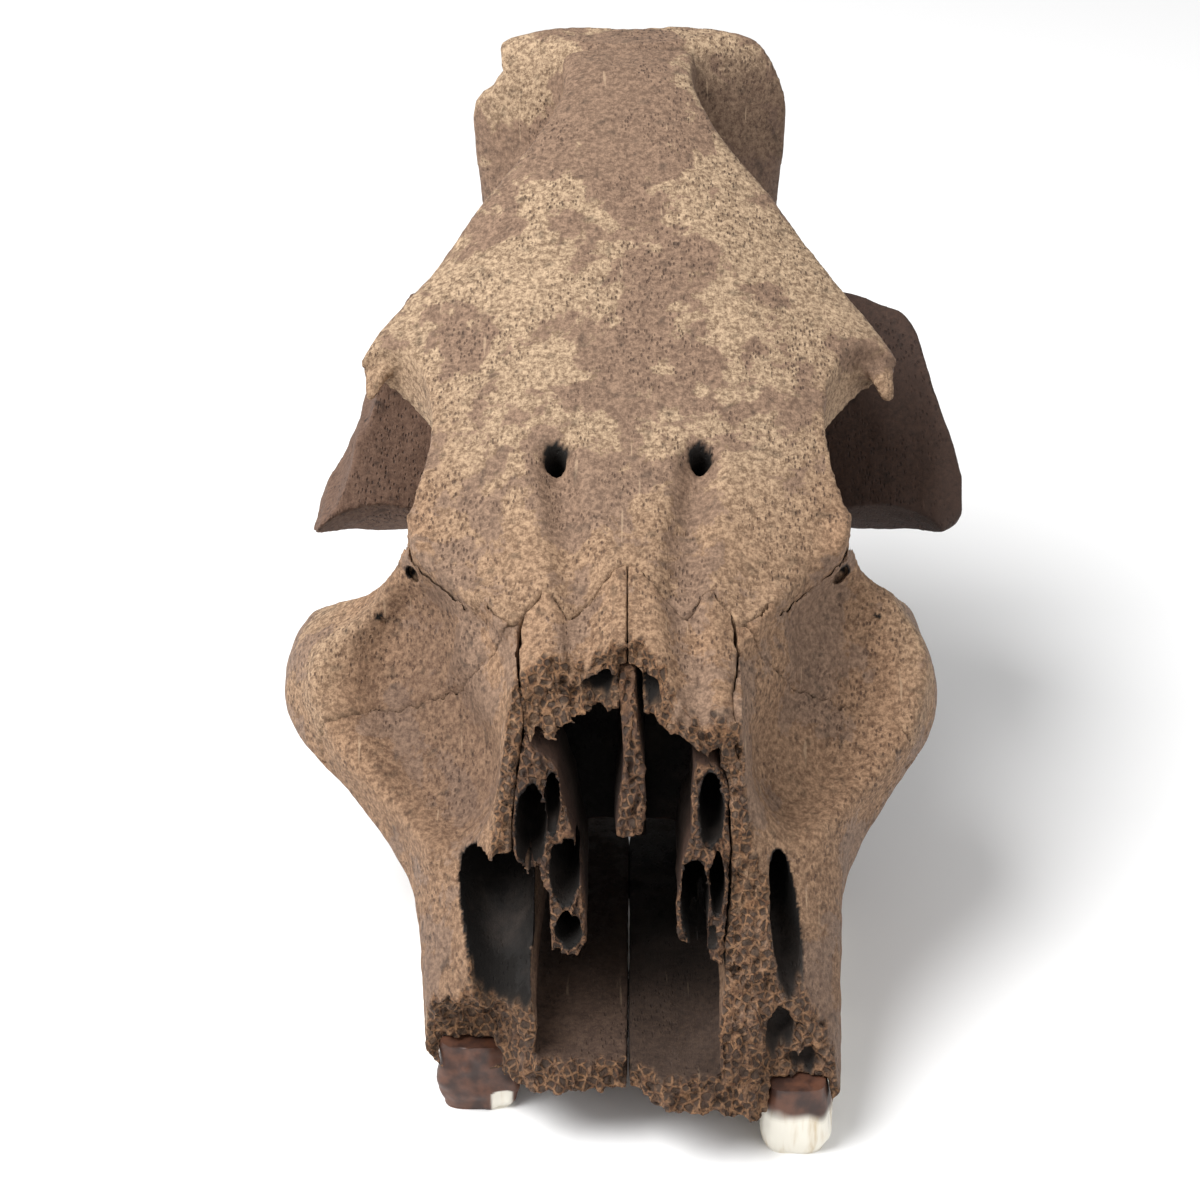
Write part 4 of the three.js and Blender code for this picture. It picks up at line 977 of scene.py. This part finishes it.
# The nose's partition and scrolls: thin brown plates of bone between and beside the air ways, broken off
# with the snout, so that their cells lie open at the front. They grow from the bones around them.
# A cell is x, z and two radii.
CELLS_LEFT = [[16.6, 66, 2.5, 6.4], [13.3, 49, 2.6, 7], [17.8, 52, 1.4, 5.4], [15.8, 42.4, 1.8, 2]]
CELLS_RIGHT = [[-19.3, 62.9, 2.9, 7.4], [-15, 67, 1.5, 5], [-12.5, 54.3, 2.8, 5.6], [-11.8, 43.9, 2.5, 2.9]]
PLATE_SKIN = 0.42          # the size of detail that these thin plates keep
snout = lost_snout()
partition = prism("nasal_septum", PARTITION, "x", *PARTITION_SPAN)
scrolls = []
for side, outline, holes in ((1, SCROLL_LEFT, CELLS_LEFT), (-1, SCROLL_RIGHT, CELLS_RIGHT)):
    scroll = prism("concha_left" if side > 0 else "concha_right", outline, "y", *SCROLL_SPAN)
    tubes = [[[x, -75, z, rx, rz], [x, -32, z, rx, rz], [x, -18, z, rx / 2, rz / 2]]
             for x, z, rx, rz in holes]
    combine(scroll, [round_body("cell", tube, level="y") for tube in tubes], "DIFFERENCE")
    scrolls.append((scroll, tubes))
for plate, tubes in [(partition, [])] + scrolls:
    cutter = bpy.data.objects.new("snout", snout.data.copy())
    bpy.context.scene.collection.objects.link(cutter)
    combine(plate, [cutter], "DIFFERENCE")
    remeshed(plate, PLATE_SKIN)
    largest_only(plate)
    soften(plate, 2)
    if plate is partition:
        points = points_of(plate)
        widened = 0.7 + 0.5 * smooth_step(-points[:, 2], -80, -62)
        sway = 0.6 * np.sin(points[:, 2] / 5) * (points[:, 1] < -5)
        points[:, 0] = 0.6 + (points[:, 0] - 0.6) * widened + sway
        place(plate, points)
    carve_detail(plate)
    paint(plate, stain=0.3)
    points = points_of(plate)
    # painted shade: the plates darken the farther they lie behind the break, and their cells' walls are painted
    # dark
    behind = 0.8 * smooth_step(points[:, 1] - break_depth(points[:, 0], points[:, 2]), 2, 16)
    walls = [in_tube(points, normals_of(plate), tube, 1.12) for tube in tubes]
    keep_values(plate, "hollow", np.maximum.reduce([behind, *walls]))
    finish(plate, [plate.name.split(".")[0]], DARK_BONE)
bpy.data.objects.remove(snout)

# The ear capsules: two smooth, swollen shells of thin bone under the back of the skull, grown onto it.
CAPSULE_SKIN = 0.7
for side, name in ((1, "tympanic_left"), (-1, "tympanic_right")):
    bulb = capsule(side)
    bulb.name = name
    remeshed(bulb, CAPSULE_SKIN)
    soften(bulb, 2)
    carve_detail(bulb, rough=0.8)
    paint(bulb, stain=0.3)
    finish(bulb, [name], DARK_BONE)

# The cheek teeth: low crowns of glossy enamel over yellow-brown dentine, set in sockets along each side of
# the palate and worn flat by chewing. The right side's foremost has lost its enamel but for one piece.
ENAMEL_COLOURS = (linear(226, 221, 208), linear(196, 178, 148))
DENTINE_COLOURS = (linear(92, 58, 42), linear(52, 32, 25))


def tooth_material(name):
    """Enamel, cream in fine upright streaks, over brown dentine where the mesh says that it is bare."""
    material = bpy.data.materials.new(name)
    material.use_nodes = True
    tree = material.node_tree
    shader = tree.nodes["Principled BSDF"]
    vector = wire(tree, "ShaderNodeTexCoord").outputs["Object"]
    streaks = cloudy(tree, mapped(tree, vector, (1, 1, 0.12)), 420.0, 5.0)
    cloud = cloudy(tree, vector, 260.0, 6.0)
    bare = wire(tree, "ShaderNodeAttribute", attribute_name="bare").outputs["Fac"]
    enamel = blended(tree, stretched(tree, streaks, 0.5, 0.75), *ENAMEL_COLOURS)
    dentine = blended(tree, stretched(tree, cloud, 0.35, 0.65), *DENTINE_COLOURS)
    tree.links.new(blended(tree, bare, enamel, dentine), shader.inputs["Base Color"])
    roughness = wire(tree, "ShaderNodeMapRange", [(0, bare), (3, 0.24), (4, 0.5)])
    tree.links.new(roughness.outputs[0], shader.inputs["Roughness"])
    bump = wire(tree, "ShaderNodeBump", [("Height", cloud), ("Strength", 0.4), ("Distance", 0.0003)])
    tree.links.new(bump.outputs[0], shader.inputs["Normal"])
    return material


ENAMEL = tooth_material("tooth_enamel")
for side, label in ((1, "left"), (-1, "right")):
    for kind in row_of(side):
        crown = tooth(kind, side, fine=14)
        crown.name = f"{kind[0]}_{label}"
        points, normals = points_of(crown), normals_of(crown)
        rough = 0.12 * noise(points * [1, 1, 0.3], 1.1, 61) + 0.25 * noise(points, 4, 62)
        if kind is WORN_MOLAR:
            rough = 0.9 * noise(points, 5, 63) + 0.5 * noise(points, 2.2, 64) - 0.2
        points += normals * (rough * (points[:, 2] > 0.05))[:, None]
        points[:, 2] = np.maximum(points[:, 2], 0)
        place(crown, points)
        bare = smooth_step(points[:, 2] + 1.5 * noise(points, 3, 65), 8.5, 11)
        if kind is WORN_MOLAR:
            piece_left = closeness(points[:, 0] + 26, 2.6) * smooth_step(-points[:, 2], -5.5, -4.2)
            bare = 1 - smooth_step(piece_left, 0.4, 0.6)
        keep_values(crown, "bare", bare)
        finish(crown, [crown.name.split(".")[0]], ENAMEL)

# The floor: one wide, smooth sheet of near-white card, on which the skull rests.
FLOOR_HALF = 3.0
floor_mesh = bpy.data.meshes.new("floor")
corners = [(-FLOOR_HALF, -FLOOR_HALF, 0), (FLOOR_HALF, -FLOOR_HALF, 0), (FLOOR_HALF, FLOOR_HALF, 0),
           (-FLOOR_HALF, FLOOR_HALF, 0)]
floor_mesh.from_pydata(corners, [], [(0, 1, 2, 3)])
floor = bpy.data.objects.new("floor", floor_mesh)
bpy.context.scene.collection.objects.link(floor)
card = bpy.data.materials.new("white_card")
card.use_nodes = True
card.node_tree.nodes["Principled BSDF"].inputs["Base Color"].default_value = (0.9, 0.9, 0.9, 1)
card.node_tree.nodes["Principled BSDF"].inputs["Roughness"].default_value = 0.8
floor_mesh.materials.append(card)

# The light: a broad soft lamp above to the left, a weaker one from the right front, and a pale room all
# round. Places and sizes are in metres and powers in watts.
LAMP_AIM = Vector((0, 0, 0.08))


def lamp(name, place, size, power):
    """A round lamp at this place that faces the skull's middle."""
    light = bpy.data.lights.new(name, "AREA")
    light.shape = "DISK"
    light.size = size
    light.energy = power
    made = bpy.data.objects.new(name, light)
    made.location = place
    made.rotation_euler = (Vector(place) - LAMP_AIM).to_track_quat("Z", "Y").to_euler()
    bpy.context.scene.collection.objects.link(made)


lamp("key", place=(-0.66, -0.3, 1.12), size=0.95, power=24)
lamp("fill", place=(0.8, -1.0, 0.7), size=0.9, power=3)
world = bpy.data.worlds.new("room")
world.use_nodes = True
world.node_tree.nodes["Background"].inputs["Color"].default_value = (1, 1, 1, 1)
world.node_tree.nodes["Background"].inputs["Strength"].default_value = 0.57
bpy.context.scene.world = world
bpy.context.scene.view_settings.view_transform = "Standard"

# The camera: a lens of about 81 mm, 600 mm from the skull, looking down on its forehead from the front. Its
# turns are in degrees.
AIM = np.array([-6.4, 40, 71])
DISTANCE = 600.0
TILT, TURN, ROLL = np.radians([29.3, -1.0, -0.55])
ahead = np.array([np.sin(TURN) * np.cos(TILT), np.cos(TURN) * np.cos(TILT), -np.sin(TILT)])
right = np.cross(ahead, [0, 0, 1])
right /= np.linalg.norm(right)
up = np.cross(right, ahead)
rolled_right = np.cos(ROLL) * right + np.sin(ROLL) * up
rolled_up = np.cos(ROLL) * up - np.sin(ROLL) * right
lens = bpy.data.cameras.new("camera")
lens.lens = 81.09
lens.sensor_width = 36
camera = bpy.data.objects.new("camera", lens)
camera.matrix_world = Matrix.Translation((AIM - ahead * DISTANCE - FRAME_SHIFT) * MM) @ Matrix(
    np.column_stack([rolled_right, rolled_up, -ahead]).tolist()).to_4x4()
bpy.context.scene.collection.objects.link(camera)
bpy.context.scene.camera = camera
